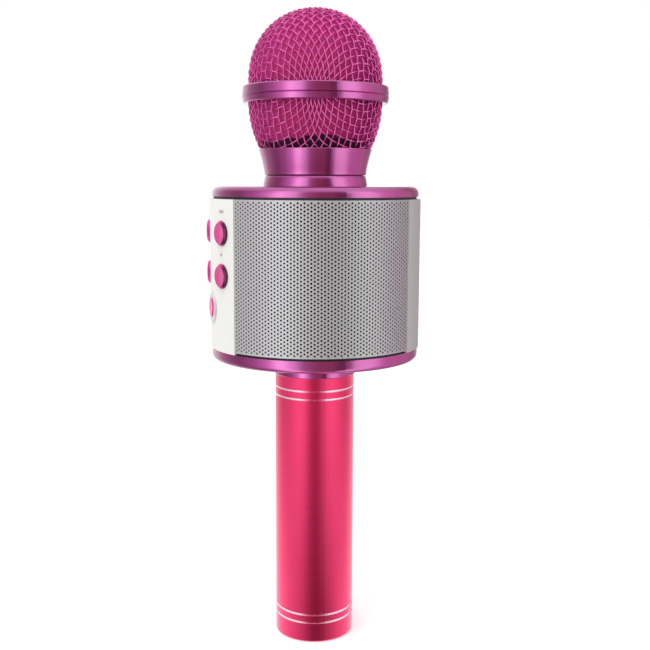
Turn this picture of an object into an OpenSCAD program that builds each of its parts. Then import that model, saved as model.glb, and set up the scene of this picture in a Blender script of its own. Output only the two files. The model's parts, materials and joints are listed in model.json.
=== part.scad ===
// Handheld karaoke microphone with a loudspeaker drum, in millimetres.
// Z runs up the handle's axis from its flat foot, the button panel faces -Y
// and the two perforated grilles face +X and -X.

/* [Handle] */
// Outer diameter of the handle tube
handle_d = 30.8; // [30.4:0.1:31]
// Wall thickness of the handle tube
handle_wall = 1.6; // [1.4:0.1:1.7]
// Visible length of the handle, from its foot to the hub
handle_len = 105.4; // [104:0.2:130]
// Width of one turned groove
groove_w = 0.8; // [0.4:0.1:1.2]
// Depth of one turned groove
groove_depth = 0.25; // [0.1:0.05:0.5]
// Distance from the hub to the middle of the handle's uppermost groove
groove_inset = 5; // [4:0.1:8]
// Height of the handle's lowest groove above its foot
foot_groove_z = 8.1; // [6:0.1:12]
// Distance between the two grooves of a pair
groove_pitch = 3.2; // [2:0.1:5]

/* [Drum] */
// Diameter over the grilles and the front panel
drum_d = 80.4; // [79.6:0.1:81]
// Height of the grilles and panels
panel_h = 57.1; // [57:0.1:58]
// Shadow gap between the grilles and the top plate
shadow_gap = 0.9; // [0.2:0.1:1]
// Thickness of the top plate
top_plate_h = 3.9; // [3.6:0.1:4.5]
// Diameter of the top plate
top_plate_d = 79; // [77:0.1:80]
// Thickness of the bottom plate
bottom_plate_h = 4; // [3.6:0.1:4.5]
// Diameter of the bottom plate
bottom_plate_d = 79.7; // [79.2:0.1:80.2]
// Height of the hub below the bottom plate
hub_h = 6.5; // [4:0.1:7.5]
// Half of the front panel's angle about the drum's axis
front_half_angle = 27.5; // [27:0.1:30]
// Half of the rear panel's angle about the drum's axis
rear_half_angle = 47.5; // [44:0.1:50]
// Wall thickness of the front panel
front_panel_t = 1.3; // [1.1:0.1:1.4]
// Wall thickness of the rear panel
rear_panel_t = 1.4; // [1.1:0.1:1.5]
// Sheet thickness of the grilles
grille_t = 0.9; // [0.6:0.1:0.9]
// Gap between neighbouring panels and grilles
seam_gap = 0.16; // [0.05:0.01:0.3]

/* [Buttons] */
// Diameter of the four round buttons
button_d = 9.1; // [8:0.1:9.8]
// How far a button stands out of the front panel
button_proud = 1.1; // [1:0.1:1.6]
// Angle of a button column from the middle of the front panel
button_angle = 15.8; // [15.5:0.1:16.5]
// Height of the upper button row above the drum's foot
button_upper_h = 44.7; // [44.5:0.1:46]
// Height of the lower button row above the drum's foot
button_lower_h = 29; // [29:0.1:30.6]
// Diameter of the power button
power_d = 7.4; // [7:0.1:8.4]
// Height of the power button above the drum's foot
power_h = 16.4; // [15.5:0.1:17.5]
// How far the power button stands out of the front panel
power_proud = 0.8; // [0.6:0.1:1.2]
// Outer diameter of the bezel round the power button
bezel_d = 12.3; // [11.6:0.1:13]

/* [Head] */
// Height of the neck ring
neck_h = 4; // [3.4:0.1:5]
// Diameter of the neck ring's foot
neck_d = 39.8; // [38.8:0.1:41]
// Height of the head collar
collar_h = 9.8; // [9.8:0.1:12]
// Diameter of the head collar's foot
collar_foot_d = 38.9; // [38.5:0.1:39.1]
// Diameter of the head collar's rim
collar_rim_d = 43.1; // [42.9:0.1:43.4]
// Height of the wire basket between the collar and the head ring
basket_h = 16.9; // [16.6:0.1:20]
// Height of the head ring
head_ring_h = 6.3; // [5:0.1:7]
// Widest diameter of the head ring
head_ring_d = 55.7; // [54.6:0.1:58]
// Diameter of the wire mesh where it enters the head ring
mesh_d = 50.8; // [50.4:0.1:50.9]
// Diameter of the wire basket where it enters the collar
basket_foot_d = 42.4; // [42.3:0.1:42.5]
// Thickness of the woven wire mesh
mesh_t = 0.8; // [0.6:0.1:0.9]
// Height of the dome above the head ring
dome_h = 28.9; // [27:0.1:31]
// Wall thickness of the foam windscreen
foam_t = 5; // [3:0.5:6]
// Outer diameter of the spigot that the head screws on to
spigot_d = 34; // [33.6:0.1:34.2]

/* [Speakers and electronics] */
// Outer diameter of a speaker's flange
speaker_d = 41.2; // [40.6:0.1:41.4]
// Diameter of the battery cell
battery_d = 18.4; // [18:0.1:18.5]
// Length of the battery cell
battery_len = 65; // [60:0.5:66]
// Diameter of the microphone capsule
capsule_d = 16; // [12:0.5:16.5]
// Bore of the audio socket
audio_bore_d = 3.6; // [3.5:0.05:3.7]

/* [Hidden] */
$fn = 96;

// Clearances: a snug fixed fit, a fit that slides or turns, and the overshoot of a cut
snug = 0.05;
run = 0.05;
cut = 1;

// Heights of the faces, from the foot up
z_hub = handle_len;
z_plate = z_hub + hub_h;
z_drum = z_plate + bottom_plate_h;
z_panel_top = z_drum + panel_h;
z_top = z_panel_top + shadow_gap;
z_neck = z_top + top_plate_h;
z_collar = z_neck + neck_h;
z_basket = z_collar + collar_h;
z_ring = z_basket + basket_h;
z_ring_top = z_ring + head_ring_h;
z_dome_mid = z_ring_top + 1.8;
z_apex = z_ring_top + dome_h;
z_speaker = z_drum + 28.7;

// Radii
handle_r = handle_d / 2;
tube_bore_r = handle_r - handle_wall;
drum_r = drum_d / 2;
core_r = drum_r - 1.4;
core_bore_r = core_r - 2.2;
mesh_r = mesh_d / 2;
spigot_r = spigot_d / 2;
neck_bore_r = spigot_r - 3.2;
lower_spigot_r = 15;

// The foot of the tube in the hub's socket
z_tube_top = z_plate + 1.45;
z_shoulder = z_tube_top + snug;

// Colours
magenta = [0.71, 0.27, 0.55];
rose = [0.94, 0.27, 0.47];
silver = [0.75, 0.74, 0.75];
pale_silver = [0.86, 0.86, 0.84];
foam_pink = [0.70, 0.16, 0.37];
black_plastic = [0.12, 0.12, 0.13];
board_green = [0.10, 0.38, 0.22];
steel = [0.62, 0.63, 0.65];
rubber = [0.09, 0.09, 0.09];

// ---------- Shared shapes ----------

// Points on an arc, from angle a0 to angle a1
function arc(cx, cy, r, a0, a1, n = 8) =
    [for (i = [0:n]) let (a = a0 + (a1 - a0) * i / n) [cx + r * cos(a), cy + r * sin(a)]];

// Height z of a straight wall's points, evenly spaced from z0 to z1
function steps(z0, z1, n) = [for (i = [0:n]) z0 + (z1 - z0) * i / n];

module tube(r_out, r_in, z0, z1) {
    translate([0, 0, z0])
        difference() {
            cylinder(r = r_out, h = z1 - z0);
            translate([0, 0, -cut])
                cylinder(r = r_in, h = z1 - z0 + 2 * cut);
        }
}

// A curved plate about the Z axis, centred on the direction mid_angle
module curved_plate(r_out, t, z0, z1, mid_angle, half_angle) {
    rotate([0, 0, mid_angle - half_angle])
        rotate_extrude(angle = 2 * half_angle)
            translate([r_out - t, z0])
                square([t, z1 - z0]);
}

// A cylinder that starts at point p and runs along +Y
module rod_y(p, r, len) {
    translate(p)
        rotate([-90, 0, 0])
            cylinder(r = r, h = len);
}

// A cylinder on a radial axis through the front panel, from distance d0 to d1 off the drum's axis
module radial_rod(angle, z, r, d0, d1) {
    on_radial(angle, z)
        translate([0, 0, d0])
            cylinder(r = r, h = d1 - d0);
}

// Places children with +Z pointing outwards through the front panel, angle degrees to the right
module on_radial(angle, z) {
    translate([0, 0, z])
        rotate([0, 0, angle])
            rotate([90, 0, 0])
                children();
}

// Four copies round the drum's axis, between the panels and the speakers
module at_drum_screws() {
    for (a = [45:90:315])
        rotate([0, 0, a])
            translate([drum_r - 6.8, 0, 0])
                children();
}

module at_handle_screws() {
    for (a = [30:120:270])
        rotate([0, 0, a])
            translate([tube_bore_r - 1.8, 0, 0])
                children();
}

// A pan-head screw pointing along +Z, with its head below z = 0 and a cross recess
module pan_screw(shank_r, head_r, head_h, len) {
    difference() {
        union() {
            translate([0, 0, -head_h])
                cylinder(r = head_r, h = head_h);
            translate([0, 0, -0.01])
                cylinder(r = shank_r, h = len + 0.01);
        }
        for (a = [0, 90])
            rotate([0, 0, a])
                translate([-head_r * 0.6, -head_r * 0.14, -head_h - cut])
                    cube([head_r * 1.2, head_r * 0.28, cut + head_h * 0.55]);
    }
}

// ---------- Head ----------

// Radius of the wire basket at height z: one arc that meets the head ring upright
basket_run = z_ring + 0.9 - z_basket;
basket_flare = (mesh_d - basket_foot_d) / 2;
basket_arc_r = (basket_run * basket_run + basket_flare * basket_flare) / (2 * basket_flare);
function basket_r(z) =
    mesh_r - basket_arc_r + sqrt(basket_arc_r * basket_arc_r - pow(min(0, z - z_ring - 0.9), 2));

// Quarter of a rounded dome outline, from its widest point up to the axis
dome_power = 2.1;
function dome_outline(r, h, n = 20) =
    [for (i = [0:n]) let (a = 90 * i / n)
        [i == n ? 0 : r * pow(cos(a), 2 / dome_power), z_dome_mid + h * pow(sin(a), 2 / dome_power)]];
function reversed(list) = [for (i = [len(list) - 1:-1:0]) list[i]];

mesh_foot_z = z_basket - 1.5;
web_z = z_ring + 2.4;
web_t = 0.9;

module dome_mesh() {
    color(magenta)
        rotate_extrude()
            polygon(concat(
                [[mesh_r - mesh_t, web_z + web_t + snug], [mesh_r, web_z + web_t + snug]],
                dome_outline(mesh_r, z_apex - z_dome_mid),
                reversed(dome_outline(mesh_r - mesh_t, z_apex - z_dome_mid - mesh_t))
            ));
}

module lower_mesh() {
    zs = steps(mesh_foot_z, web_z - snug, 12);
    color(magenta)
        rotate_extrude()
            polygon(concat(
                [for (z = zs) [basket_r(z), z]],
                [for (z = reversed(zs)) [basket_r(z) - mesh_t, z]]
            ));
}

// Widest in the middle, where a fine groove runs round it
module head_ring() {
    r = head_ring_d / 2;
    edge = 0.35;
    z_mid = z_ring + 0.42 * head_ring_h;
    groove = 0.3;
    color(magenta)
        rotate_extrude()
            polygon([
                [mesh_r + snug, z_ring],
                [r - 0.4 - edge, z_ring],
                [r - 0.4, z_ring + edge],
                [r, z_mid - groove],
                [r - groove, z_mid],
                [r, z_mid + groove],
                [r - 0.3, z_ring_top - edge],
                [r - 0.3 - edge, z_ring_top],
                [mesh_r + snug, z_ring_top],
                [mesh_r + snug, web_z + web_t],
                [mesh_r - 1.3, web_z + web_t],
                [mesh_r - 1.3, web_z],
                [mesh_r + snug, web_z]
            ]);
}

// Flares upwards; its bore turns on the neck ring's spigot
module head_collar() {
    foot_r = collar_foot_d / 2;
    rim_r = collar_rim_d / 2;
    edge = 0.25;
    thread_h = 6.5;
    outline = [for (i = [0:14]) let (t = i / 14)
        [foot_r + (rim_r - foot_r) * pow(t, 1.37), z_collar + edge + (collar_h - 2 * edge) * t]];
    color(magenta)
        rotate_extrude()
            polygon(concat(
                [[spigot_r + run, z_collar], [foot_r - edge, z_collar]],
                outline,
                [
                    [rim_r - 0.1, z_basket],
                    [basket_r(z_basket) + snug, z_basket],
                    [basket_r(mesh_foot_z) + snug, mesh_foot_z - snug],
                    [basket_r(mesh_foot_z) - 1.4, mesh_foot_z - snug],
                    [spigot_r + 0.8, z_collar + thread_h + 0.8],
                    [spigot_r + run, z_collar + thread_h]
                ]
            ));
}

// Foam cup that lines the mesh, open below
module foam_windscreen() {
    gap = mesh_t + 0.5;
    z_foot = z_basket + 0.3;
    r_mid = mesh_r - 1.5;
    dome_rise = z_apex - z_dome_mid - gap;
    zs = steps(z_foot, z_ring, 8);
    color(foam_pink)
        rotate_extrude()
            polygon(concat(
                [for (z = zs) [min(r_mid, basket_r(z) - gap), z]],
                dome_outline(r_mid, dome_rise, 16),
                reversed(dome_outline(r_mid - foam_t, dome_rise - foam_t, 16)),
                [for (z = reversed(zs)) [min(r_mid, basket_r(z) - gap) - foam_t, z]]
            ));
}

// ---------- Neck and capsule ----------

spigot_top = z_collar + 6.2;
seal_r = spigot_r + 1.5;
seal_groove = 1;
plate_web = 2;
lower_spigot_z = z_top - 1.7;

module neck_seal() {
    color(rubber)
        tube(seal_r, spigot_r + run, z_collar - 0.2 - seal_groove + snug, z_collar - snug);
}

// Bevelled ring with the threaded spigot above it and a plain one below, through the top plate
module neck_ring() {
    foot_r = neck_d / 2;
    top_r = foot_r - 0.6;
    face = z_collar - 0.2;
    edge = 0.25;
    color(magenta)
        rotate_extrude()
            polygon([
                [neck_bore_r, lower_spigot_z],
                [lower_spigot_r, lower_spigot_z],
                [lower_spigot_r, z_neck],
                [foot_r, z_neck],
                [foot_r, z_neck + 0.6],
                [top_r, face - edge],
                [top_r - edge, face],
                [seal_r + snug, face],
                [seal_r + snug, face - seal_groove],
                [spigot_r, face - seal_groove],
                [spigot_r, spigot_top - 0.5],
                [spigot_r - 0.5, spigot_top],
                [neck_bore_r, spigot_top]
            ]);
}

// Hexagon nut that draws the neck ring down on to the top plate
module neck_nut() {
    nut_h = 2.6;
    z_face = z_neck - plate_web - snug;
    color(steel)
        translate([0, 0, z_face - nut_h])
            difference() {
                cylinder(r = 20, h = nut_h, $fn = 6);
                translate([0, 0, -cut])
                    cylinder(r = lower_spigot_r + snug, h = nut_h + 2 * cut);
            }
}

post_top = z_basket + 9.5;
lead_bore_r = 3;

module capsule_post() {
    flange_z = spigot_top + snug;
    color(black_plastic)
        difference() {
            union() {
                tube(neck_bore_r - snug, neck_bore_r - 2.2, z_neck + 1.2, flange_z + 0.1);
                translate([0, 0, flange_z])
                    cylinder(r = neck_bore_r + 1.9, h = 1.5);
                translate([0, 0, flange_z + 1.4])
                    cylinder(r1 = 9.5, r2 = 7, h = post_top - flange_z - 3.4);
                translate([0, 0, post_top - 2])
                    cylinder(r = 9.5, h = 2);
            }
            translate([0, 0, flange_z - cut])
                cylinder(r = lead_bore_r, h = post_top - flange_z + 2 * cut);
        }
}

cradle_floor = 1.5;
capsule_h = 7;

module capsule_cradle() {
    z0 = post_top + snug;
    color(rubber)
        difference() {
            translate([0, 0, z0])
                cylinder(r = capsule_d / 2 + 3, h = cradle_floor + capsule_h + 0.5);
            translate([0, 0, z0 + cradle_floor])
                cylinder(r = capsule_d / 2 + snug, h = capsule_h + cut + 0.5);
            translate([0, 0, z0 - cut])
                cylinder(r = lead_bore_r, h = cradle_floor + 2 * cut);
        }
}

// Capsule with sound holes in its face and two solder pads below
module mic_capsule() {
    z0 = post_top + snug + cradle_floor + snug;
    color(steel)
        difference() {
            translate([0, 0, z0])
                cylinder(r = capsule_d / 2, h = capsule_h);
            for (a = [0:60:300])
                rotate([0, 0, a])
                    translate([capsule_d * 0.26, 0, z0 + capsule_h - 0.8])
                        cylinder(r = 0.9, h = 0.8 + cut);
            translate([0, 0, z0 + capsule_h - 0.8])
                cylinder(r = 0.9, h = 0.8 + cut);
        }
}

// ---------- Drum ----------

screw_bore_r = 1.3;
screw_shank_r = 1.25;
boss_h = 5;
boss_r = 3;
plate_recess_r = drum_r - 10;
lip_h = 0.7;

module top_plate() {
    r = top_plate_d / 2;
    round_r = 2.8;
    color(magenta)
        difference() {
            rotate_extrude()
                polygon(concat(
                    [[lower_spigot_r + snug, z_top], [r, z_top]],
                    arc(r - round_r, z_neck - round_r, round_r, 0, 90),
                    [[lower_spigot_r + snug, z_neck]]
                ));
            translate([0, 0, z_top - cut])
                cylinder(r = plate_recess_r, h = cut + top_plate_h - plate_web);
            at_drum_screws()
                translate([0, 0, z_top - cut])
                    cylinder(r = screw_bore_r, h = cut + 2.6);
        }
}

module top_plate_screws() {
    color(steel)
        at_drum_screws()
            translate([0, 0, z_top - boss_h])
                pan_screw(screw_shank_r, 2.3, 1.5, boss_h + 2.4);
}

// Windows in the core, and the flat baffles that carry the speakers
front_window_w = 33;
rear_window_w = 46;
window_margin = 5;
baffle_x = 29;
baffle_t = 2;
basket_hole_r = 17.8;
speaker_screw_r = 19;

// Places children with +Z pointing out of the right-hand (side = 1) or left-hand (side = -1) baffle
module at_speaker(side) {
    translate([side * baffle_x, 0, z_speaker])
        rotate([0, 90 * side, 0])
            children();
}

module at_speaker_screws() {
    for (a = [45:90:315])
        rotate([0, 0, a])
            translate([speaker_screw_r, 0, 0])
                children();
}

module drum_core() {
    flange_r = drum_r - 11;
    window_h = z_top - z_drum - 2 * window_margin;
    color(black_plastic)
        difference() {
            union() {
                tube(core_r, core_bore_r, z_drum, z_top);
                tube(core_bore_r + 0.5, flange_r, z_drum, z_drum + 2);
                tube(core_bore_r + 0.5, flange_r, z_top - 2, z_top);
                at_drum_screws()
                    translate([0, 0, z_drum])
                        cylinder(r = boss_r, h = boss_h);
                at_drum_screws()
                    translate([0, 0, z_top - boss_h])
                        cylinder(r = boss_r, h = boss_h);
                intersection() {
                    translate([0, 0, z_drum + 1])
                        cylinder(r = core_bore_r + 0.5, h = z_top - z_drum - 2);
                    for (side = [-1, 1])
                        translate([side * (baffle_x - baffle_t / 2) - baffle_t / 2, -core_r, z_drum])
                            cube([baffle_t, 2 * core_r, z_top - z_drum]);
                }
            }
            for (side = [-1, 1])
                at_speaker(side) {
                    cylinder(r = speaker_d / 2 + 0.4, h = core_r);
                    translate([0, 0, -baffle_t - cut])
                        cylinder(r = basket_hole_r, h = baffle_t + 2 * cut);
                    at_speaker_screws()
                        translate([0, 0, -baffle_t - cut])
                            cylinder(r = 0.85, h = baffle_t + 2 * cut);
                }
            translate([-front_window_w / 2, -core_r - cut, z_drum + window_margin])
                cube([front_window_w, 12, window_h]);
            translate([-rear_window_w / 2, core_r + cut - 16, z_drum + window_margin])
                cube([rear_window_w, 16, window_h]);
            at_drum_screws()
                translate([0, 0, z_drum - cut])
                    cylinder(r = screw_bore_r, h = z_top - z_drum + 2 * cut);
        }
}

// The grilles fill the drum's side between the two panels
seam_angle = seam_gap / drum_r * 180 / PI / 2;
grille_half_angle = (180 - front_half_angle - rear_half_angle) / 2 - seam_angle;
grille_mid_angle = (front_half_angle - rear_half_angle) / 2;
panel_foot = z_drum + lip_h + snug;
grille_foot = z_drum + lip_h + shadow_gap;

module grille(side) {
    color(silver)
        mirror([side < 0 ? 1 : 0, 0, 0])
            curved_plate(drum_r, grille_t, grille_foot, z_panel_top, grille_mid_angle, grille_half_angle);
}

module grille_right() {
    grille(1);
}

module grille_left() {
    grille(-1);
}

// Thin acoustic cloth behind each grille
module speaker_cloth() {
    cloth_t = 0.3;
    cloth_r = drum_r - grille_t - 0.1;
    color(rubber)
        for (side = [0, 1])
            mirror([side, 0, 0])
                curved_plate(min(cloth_r, core_r + 0.4), cloth_t, grille_foot, z_panel_top,
                    grille_mid_angle, grille_half_angle - 0.3);
}

// ---------- Front panel, buttons and control board ----------

z_upper = z_drum + button_upper_h;
z_lower = z_drum + button_lower_h;
z_power = z_drum + power_h;
board_t = 1.6;
front_board_y = -(drum_r - 9.6);
front_posts = [[0, z_drum + 50.6], [-12, z_drum + 10], [12, z_drum + 10]];
flange_d0 = drum_r - 2.6;
flange_d1 = drum_r - 1.8;
stem_tip = drum_r - 4.1;

module front_panel() {
    color(pale_silver)
        difference() {
            union() {
                curved_plate(drum_r, front_panel_t, panel_foot, z_panel_top, -90,
                    front_half_angle - seam_angle);
                intersection() {
                    translate([0, 0, z_drum])
                        cylinder(r = drum_r - 0.7, h = panel_h);
                    union() {
                        for (p = front_posts)
                            rod_y([p[0], -drum_r, p[1]], 2.2, drum_r + front_board_y);
                        for (side = [-1, 1])
                            front_clips(side);
                    }
                }
            }
            for (side = [-1, 1])
                for (z = [z_upper, z_lower])
                    radial_rod(side * button_angle, z, button_d / 2 + run, drum_r - 4, drum_r + cut);
            radial_rod(0, z_power, bezel_d / 2 + snug, drum_r - 4, drum_r + cut);
            for (p = front_posts)
                rod_y([p[0], -drum_r + 3.5, p[1]], 1.05, drum_r);
        }
}

// Hooks on one side of the front panel that catch behind the core's window edge
module front_clips(side) {
    arm = 1.3;
    arm_x = front_window_w / 2 - 0.2 - arm;
    y0 = -(drum_r - 1);
    y1 = -(drum_r - 9.3);
    for (spot = [[z_drum + 37.6, 3], [z_drum + 17, 6]])
        mirror([side < 0 ? 1 : 0, 0, 0]) {
            translate([arm_x, y0, spot[0] - spot[1] / 2])
                cube([arm, y1 - y0, spot[1]]);
            translate([arm_x, y1 - 1.1, spot[0] - spot[1] / 2])
                cube([arm + 1, 1.1, spot[1]]);
        }
}

// A cap with a chamfered rim and a dished face, a retaining flange and a stem that meets the switch
module button(angle, z, r, proud) {
    face = drum_r + proud;
    chamfer = min(0.8, proud * 0.6);
    color(magenta)
        on_radial(angle, z)
            rotate_extrude()
                polygon([
                    [0, stem_tip],
                    [2, stem_tip],
                    [2, flange_d0],
                    [r + 0.8, flange_d0],
                    [r + 0.8, flange_d1],
                    [r, flange_d1],
                    [r, face - chamfer],
                    [r - chamfer * 1.1, face],
                    [r - chamfer * 1.1 - 0.4, face],
                    [0, face - 0.2]
                ]);
}

module button_upper_right() {
    button(button_angle, z_upper, button_d / 2, button_proud);
}

module button_upper_left() {
    button(-button_angle, z_upper, button_d / 2, button_proud);
}

module button_lower_right() {
    button(button_angle, z_lower, button_d / 2, button_proud);
}

module button_lower_left() {
    button(-button_angle, z_lower, button_d / 2, button_proud);
}

module button_power() {
    button(0, z_power, power_d / 2, power_proud);
}

// Bright ring in the front panel that guides the power button
module power_bezel() {
    r = bezel_d / 2;
    color(silver)
        on_radial(0, z_power)
            rotate_extrude()
                polygon([
                    [power_d / 2 + run, drum_r - 1.7],
                    [r, drum_r - 1.7],
                    [r, drum_r + 0.1],
                    [r - 0.5, drum_r + 0.35],
                    [power_d / 2 + 0.4, drum_r + 0.35],
                    [power_d / 2 + run, drum_r + 0.1]
                ]);
}

module plunger(angle, z) {
    color(black_plastic)
        radial_rod(angle, z, 1.5, drum_r - 7.4, stem_tip - 0.02);
}

module plunger_upper_right() {
    plunger(button_angle, z_upper);
}

module plunger_upper_left() {
    plunger(-button_angle, z_upper);
}

module plunger_lower_right() {
    plunger(button_angle, z_lower);
}

module plunger_lower_left() {
    plunger(-button_angle, z_lower);
}

module plunger_power() {
    plunger(0, z_power);
}

module control_board() {
    color(board_green)
        difference() {
            translate([-14.5, front_board_y + 0.02, z_drum + 7])
                cube([29, board_t, 46.6]);
            for (p = front_posts)
                rod_y([p[0], front_board_y - cut, p[1]], 1.1, board_t + 2 * cut);
        }
}

// Switch housings on the control board, each bored for its plunger
module switch_bodies() {
    size = 6.2;
    h = 3;
    keys = [[button_angle, z_upper], [-button_angle, z_upper], [button_angle, z_lower],
        [-button_angle, z_lower], [0, z_power]];
    color(black_plastic)
        for (key = keys)
            difference() {
                translate([sin(key[0]) * (drum_r - 6.6) - size / 2, front_board_y - h, key[1] - size / 2])
                    cube([size, h, size]);
                radial_rod(key[0], key[1], 1.7, drum_r - 8.1, drum_r - 4);
            }
}

// ---------- Rear panel, main board and ports ----------

main_board_y = drum_r - 13;
main_board_w = 41;
rear_posts = [[-17.5, z_drum + 9], [17.5, z_drum + 9], [-17.5, z_drum + 49], [17.5, z_drum + 49]];
z_usb = z_drum + 13;
z_jack = z_drum + 27;
z_card = z_drum + 40;
jack_nose_r = 2.9;
jack_mouth_y = drum_r - 0.4;
jack_depth = 12;

module rear_panel() {
    r = drum_r + 0.1;
    color(pale_silver)
        difference() {
            union() {
                curved_plate(r, rear_panel_t, panel_foot, z_panel_top, 90, rear_half_angle - seam_angle);
                intersection() {
                    translate([0, 0, z_drum])
                        cylinder(r = drum_r - 0.7, h = panel_h);
                    union() {
                        for (p = rear_posts)
                            rod_y([p[0], main_board_y, p[1]], 2.2, drum_r - main_board_y);
                        for (side = [-1, 1])
                            rear_clips(side);
                    }
                }
            }
            translate([-4.6, drum_r - 4, z_usb - 1.9])
                cube([9.2, 6, 3.8]);
            rod_y([0, drum_r - 4, z_jack], jack_nose_r + 0.2, 6);
            translate([-6.2, drum_r - 4, z_card - 1.1])
                cube([12.4, 6, 2.2]);
            for (p = rear_posts)
                rod_y([p[0], main_board_y - cut, p[1]], 1.05, cut + 5);
        }
}

module rear_clips(side) {
    arm = 1.3;
    arm_x = rear_window_w / 2 - 0.2 - arm;
    y0 = main_board_y - 1.1;
    for (z = [z_drum + 21, z_drum + 37])
        mirror([side < 0 ? 1 : 0, 0, 0]) {
            translate([arm_x, y0, z - 4])
                cube([arm, drum_r - y0, 8]);
            translate([arm_x, y0, z - 4])
                cube([arm + 1.1, 1.2, 8]);
        }
}

module main_board() {
    color(board_green)
        difference() {
            translate([-main_board_w / 2, main_board_y - board_t - 0.02, z_drum + 6.6])
                cube([main_board_w, board_t, 44.6]);
            for (p = rear_posts)
                rod_y([p[0], main_board_y - board_t - cut, p[1]], 1.1, board_t + 2 * cut);
        }
}

module usb_socket() {
    color(steel)
        difference() {
            translate([-4, main_board_y, z_usb - 1.5])
                cube([8, drum_r - 1.2 - main_board_y, 3]);
            translate([-3.5, drum_r - 6.5, z_usb - 1])
                cube([7, 6.5, 2]);
        }
}

module audio_jack() {
    color(black_plastic)
        difference() {
            union() {
                translate([-3.2, main_board_y, z_jack - 3.2])
                    cube([6.4, drum_r - 2 - main_board_y, 6.4]);
                rod_y([0, main_board_y + 1, z_jack], jack_nose_r, jack_mouth_y - main_board_y - 1);
            }
            rod_y([0, jack_mouth_y - jack_depth, z_jack], audio_bore_d / 2, jack_depth + cut);
        }
}

module card_socket() {
    color(steel)
        difference() {
            translate([-7, main_board_y, z_card - 1])
                cube([14, drum_r - 2.5 - main_board_y, 2]);
            translate([-5.7, main_board_y + 1.5, z_card - 0.5])
                cube([11.4, drum_r, 1]);
        }
}

board_back_y = main_board_y - board_t - 0.04;

// A small board with a shield can on it
module wireless_module() {
    color(steel) {
        translate([-17, board_back_y - 0.8, z_drum + 28])
            cube([14, 0.8, 17]);
        translate([-15.8, board_back_y - 2.2, z_drum + 29.2])
            cube([11.6, 1.5, 10.5]);
    }
}

module board_chips() {
    chips = [[4.5, 31, 8, 8], [5, 20, 4, 4], [-14, 19, 6, 6]];
    color(black_plastic)
        for (chip = chips)
            translate([chip[0], board_back_y - 1.2, z_drum + chip[1]])
                cube([chip[2], 1.2, chip[3]]);
}

module capacitors() {
    color(steel)
        for (x = [7, 12.4])
            rod_y([x, board_back_y - 7, z_drum + 44.6], 2.3, 7);
}

module board_screws() {
    color(steel) {
        for (p = front_posts)
            translate([p[0], front_board_y + board_t + 0.04, p[1]])
                rotate([90, 0, 0])
                    pan_screw(1, 1.9, 1.2, 5);
        for (p = rear_posts)
            translate([p[0], main_board_y - board_t - 0.04, p[1]])
                rotate([-90, 0, 0])
                    pan_screw(1, 1.9, 1.2, 5);
    }
}

// Flat cable from the control board to the main board
module ribbon_cable() {
    y0 = front_board_y + board_t + 0.05;
    color("lightgrey")
        translate([-4, y0, z_drum + 16])
            cube([8, board_back_y - 0.02 - y0, 0.6]);
}

// ---------- Speakers ----------

gap_r = 5.3;
magnet_r = 11;
frame_back = 9.4;
roll_r = 1.45;
cone_r = 13.2;

module speaker_frame(side) {
    rim = speaker_d / 2;
    color(steel)
        at_speaker(side)
            difference() {
                rotate_extrude()
                    polygon([
                        [16.2, 1.6],
                        [rim, 1.6],
                        [rim, 0.02],
                        [17.4, 0.02],
                        [12.6, -8],
                        [12.6, -frame_back],
                        [gap_r, -frame_back],
                        [gap_r, -8],
                        [11.7, -8],
                        [16.2, -0.5]
                    ]);
                at_speaker_screws()
                    translate([0, 0, -cut])
                        cylinder(r = 0.9, h = 3 + cut);
            }
}

// Ring magnet and its yoke with the pole piece
module speaker_magnet(side) {
    color([0.25, 0.25, 0.27])
        at_speaker(side)
            rotate_extrude()
                polygon([
                    [0, -frame_back - 7],
                    [magnet_r, -frame_back - 7],
                    [magnet_r, -frame_back - snug],
                    [gap_r + 1, -frame_back - snug],
                    [gap_r + 1, -frame_back - 5.5],
                    [4.2, -frame_back - 5.5],
                    [4.2, -8],
                    [0, -8]
                ]);
}

// Paper cone with its dust cap and the coil former in the magnet's gap
module speaker_cone(side) {
    color([0.16, 0.16, 0.17])
        at_speaker(side)
            rotate_extrude()
                polygon([
                    [0, -3.6],
                    [3, -4.2],
                    [5, -5.6],
                    [cone_r, 0.9],
                    [cone_r, 0.4],
                    [4.95, -6.4],
                    [4.95, -12],
                    [4.6, -12],
                    [4.6, -6],
                    [2.8, -4.8],
                    [0, -4.2]
                ]);
}

// Half-roll rubber edge, glued to the flange
module speaker_surround(side) {
    t = 0.4;
    mid = cone_r + 0.1 + roll_r;
    color(rubber)
        at_speaker(side)
            rotate_extrude()
                polygon(concat(
                    [[mid + roll_r + 1.2, 1.65], [mid + roll_r + 1.2, 1.65 + t], [mid + roll_r, 1.65 + t]],
                    arc(mid, 1.65, roll_r, 20, 180, 10),
                    arc(mid, 1.65, roll_r - t, 180, 0, 10)
                ));
}

module speaker_frame_right() {
    speaker_frame(1);
}

module speaker_frame_left() {
    speaker_frame(-1);
}

module speaker_magnet_right() {
    speaker_magnet(1);
}

module speaker_magnet_left() {
    speaker_magnet(-1);
}

module speaker_cone_right() {
    speaker_cone(1);
}

module speaker_cone_left() {
    speaker_cone(-1);
}

module speaker_surround_right() {
    speaker_surround(1);
}

module speaker_surround_left() {
    speaker_surround(-1);
}

module speaker_screws() {
    color(steel)
        for (side = [-1, 1])
            at_speaker(side)
                at_speaker_screws()
                    translate([0, 0, 1.62])
                        rotate([180, 0, 0])
                            pan_screw(0.8, 1.5, 0.9, 4);
}

// ---------- Bottom plate and handle ----------

hub_bore_r = handle_r + snug;
lead_hole_r = 9.5;
handle_screw_bore_r = 1.1;

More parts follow.
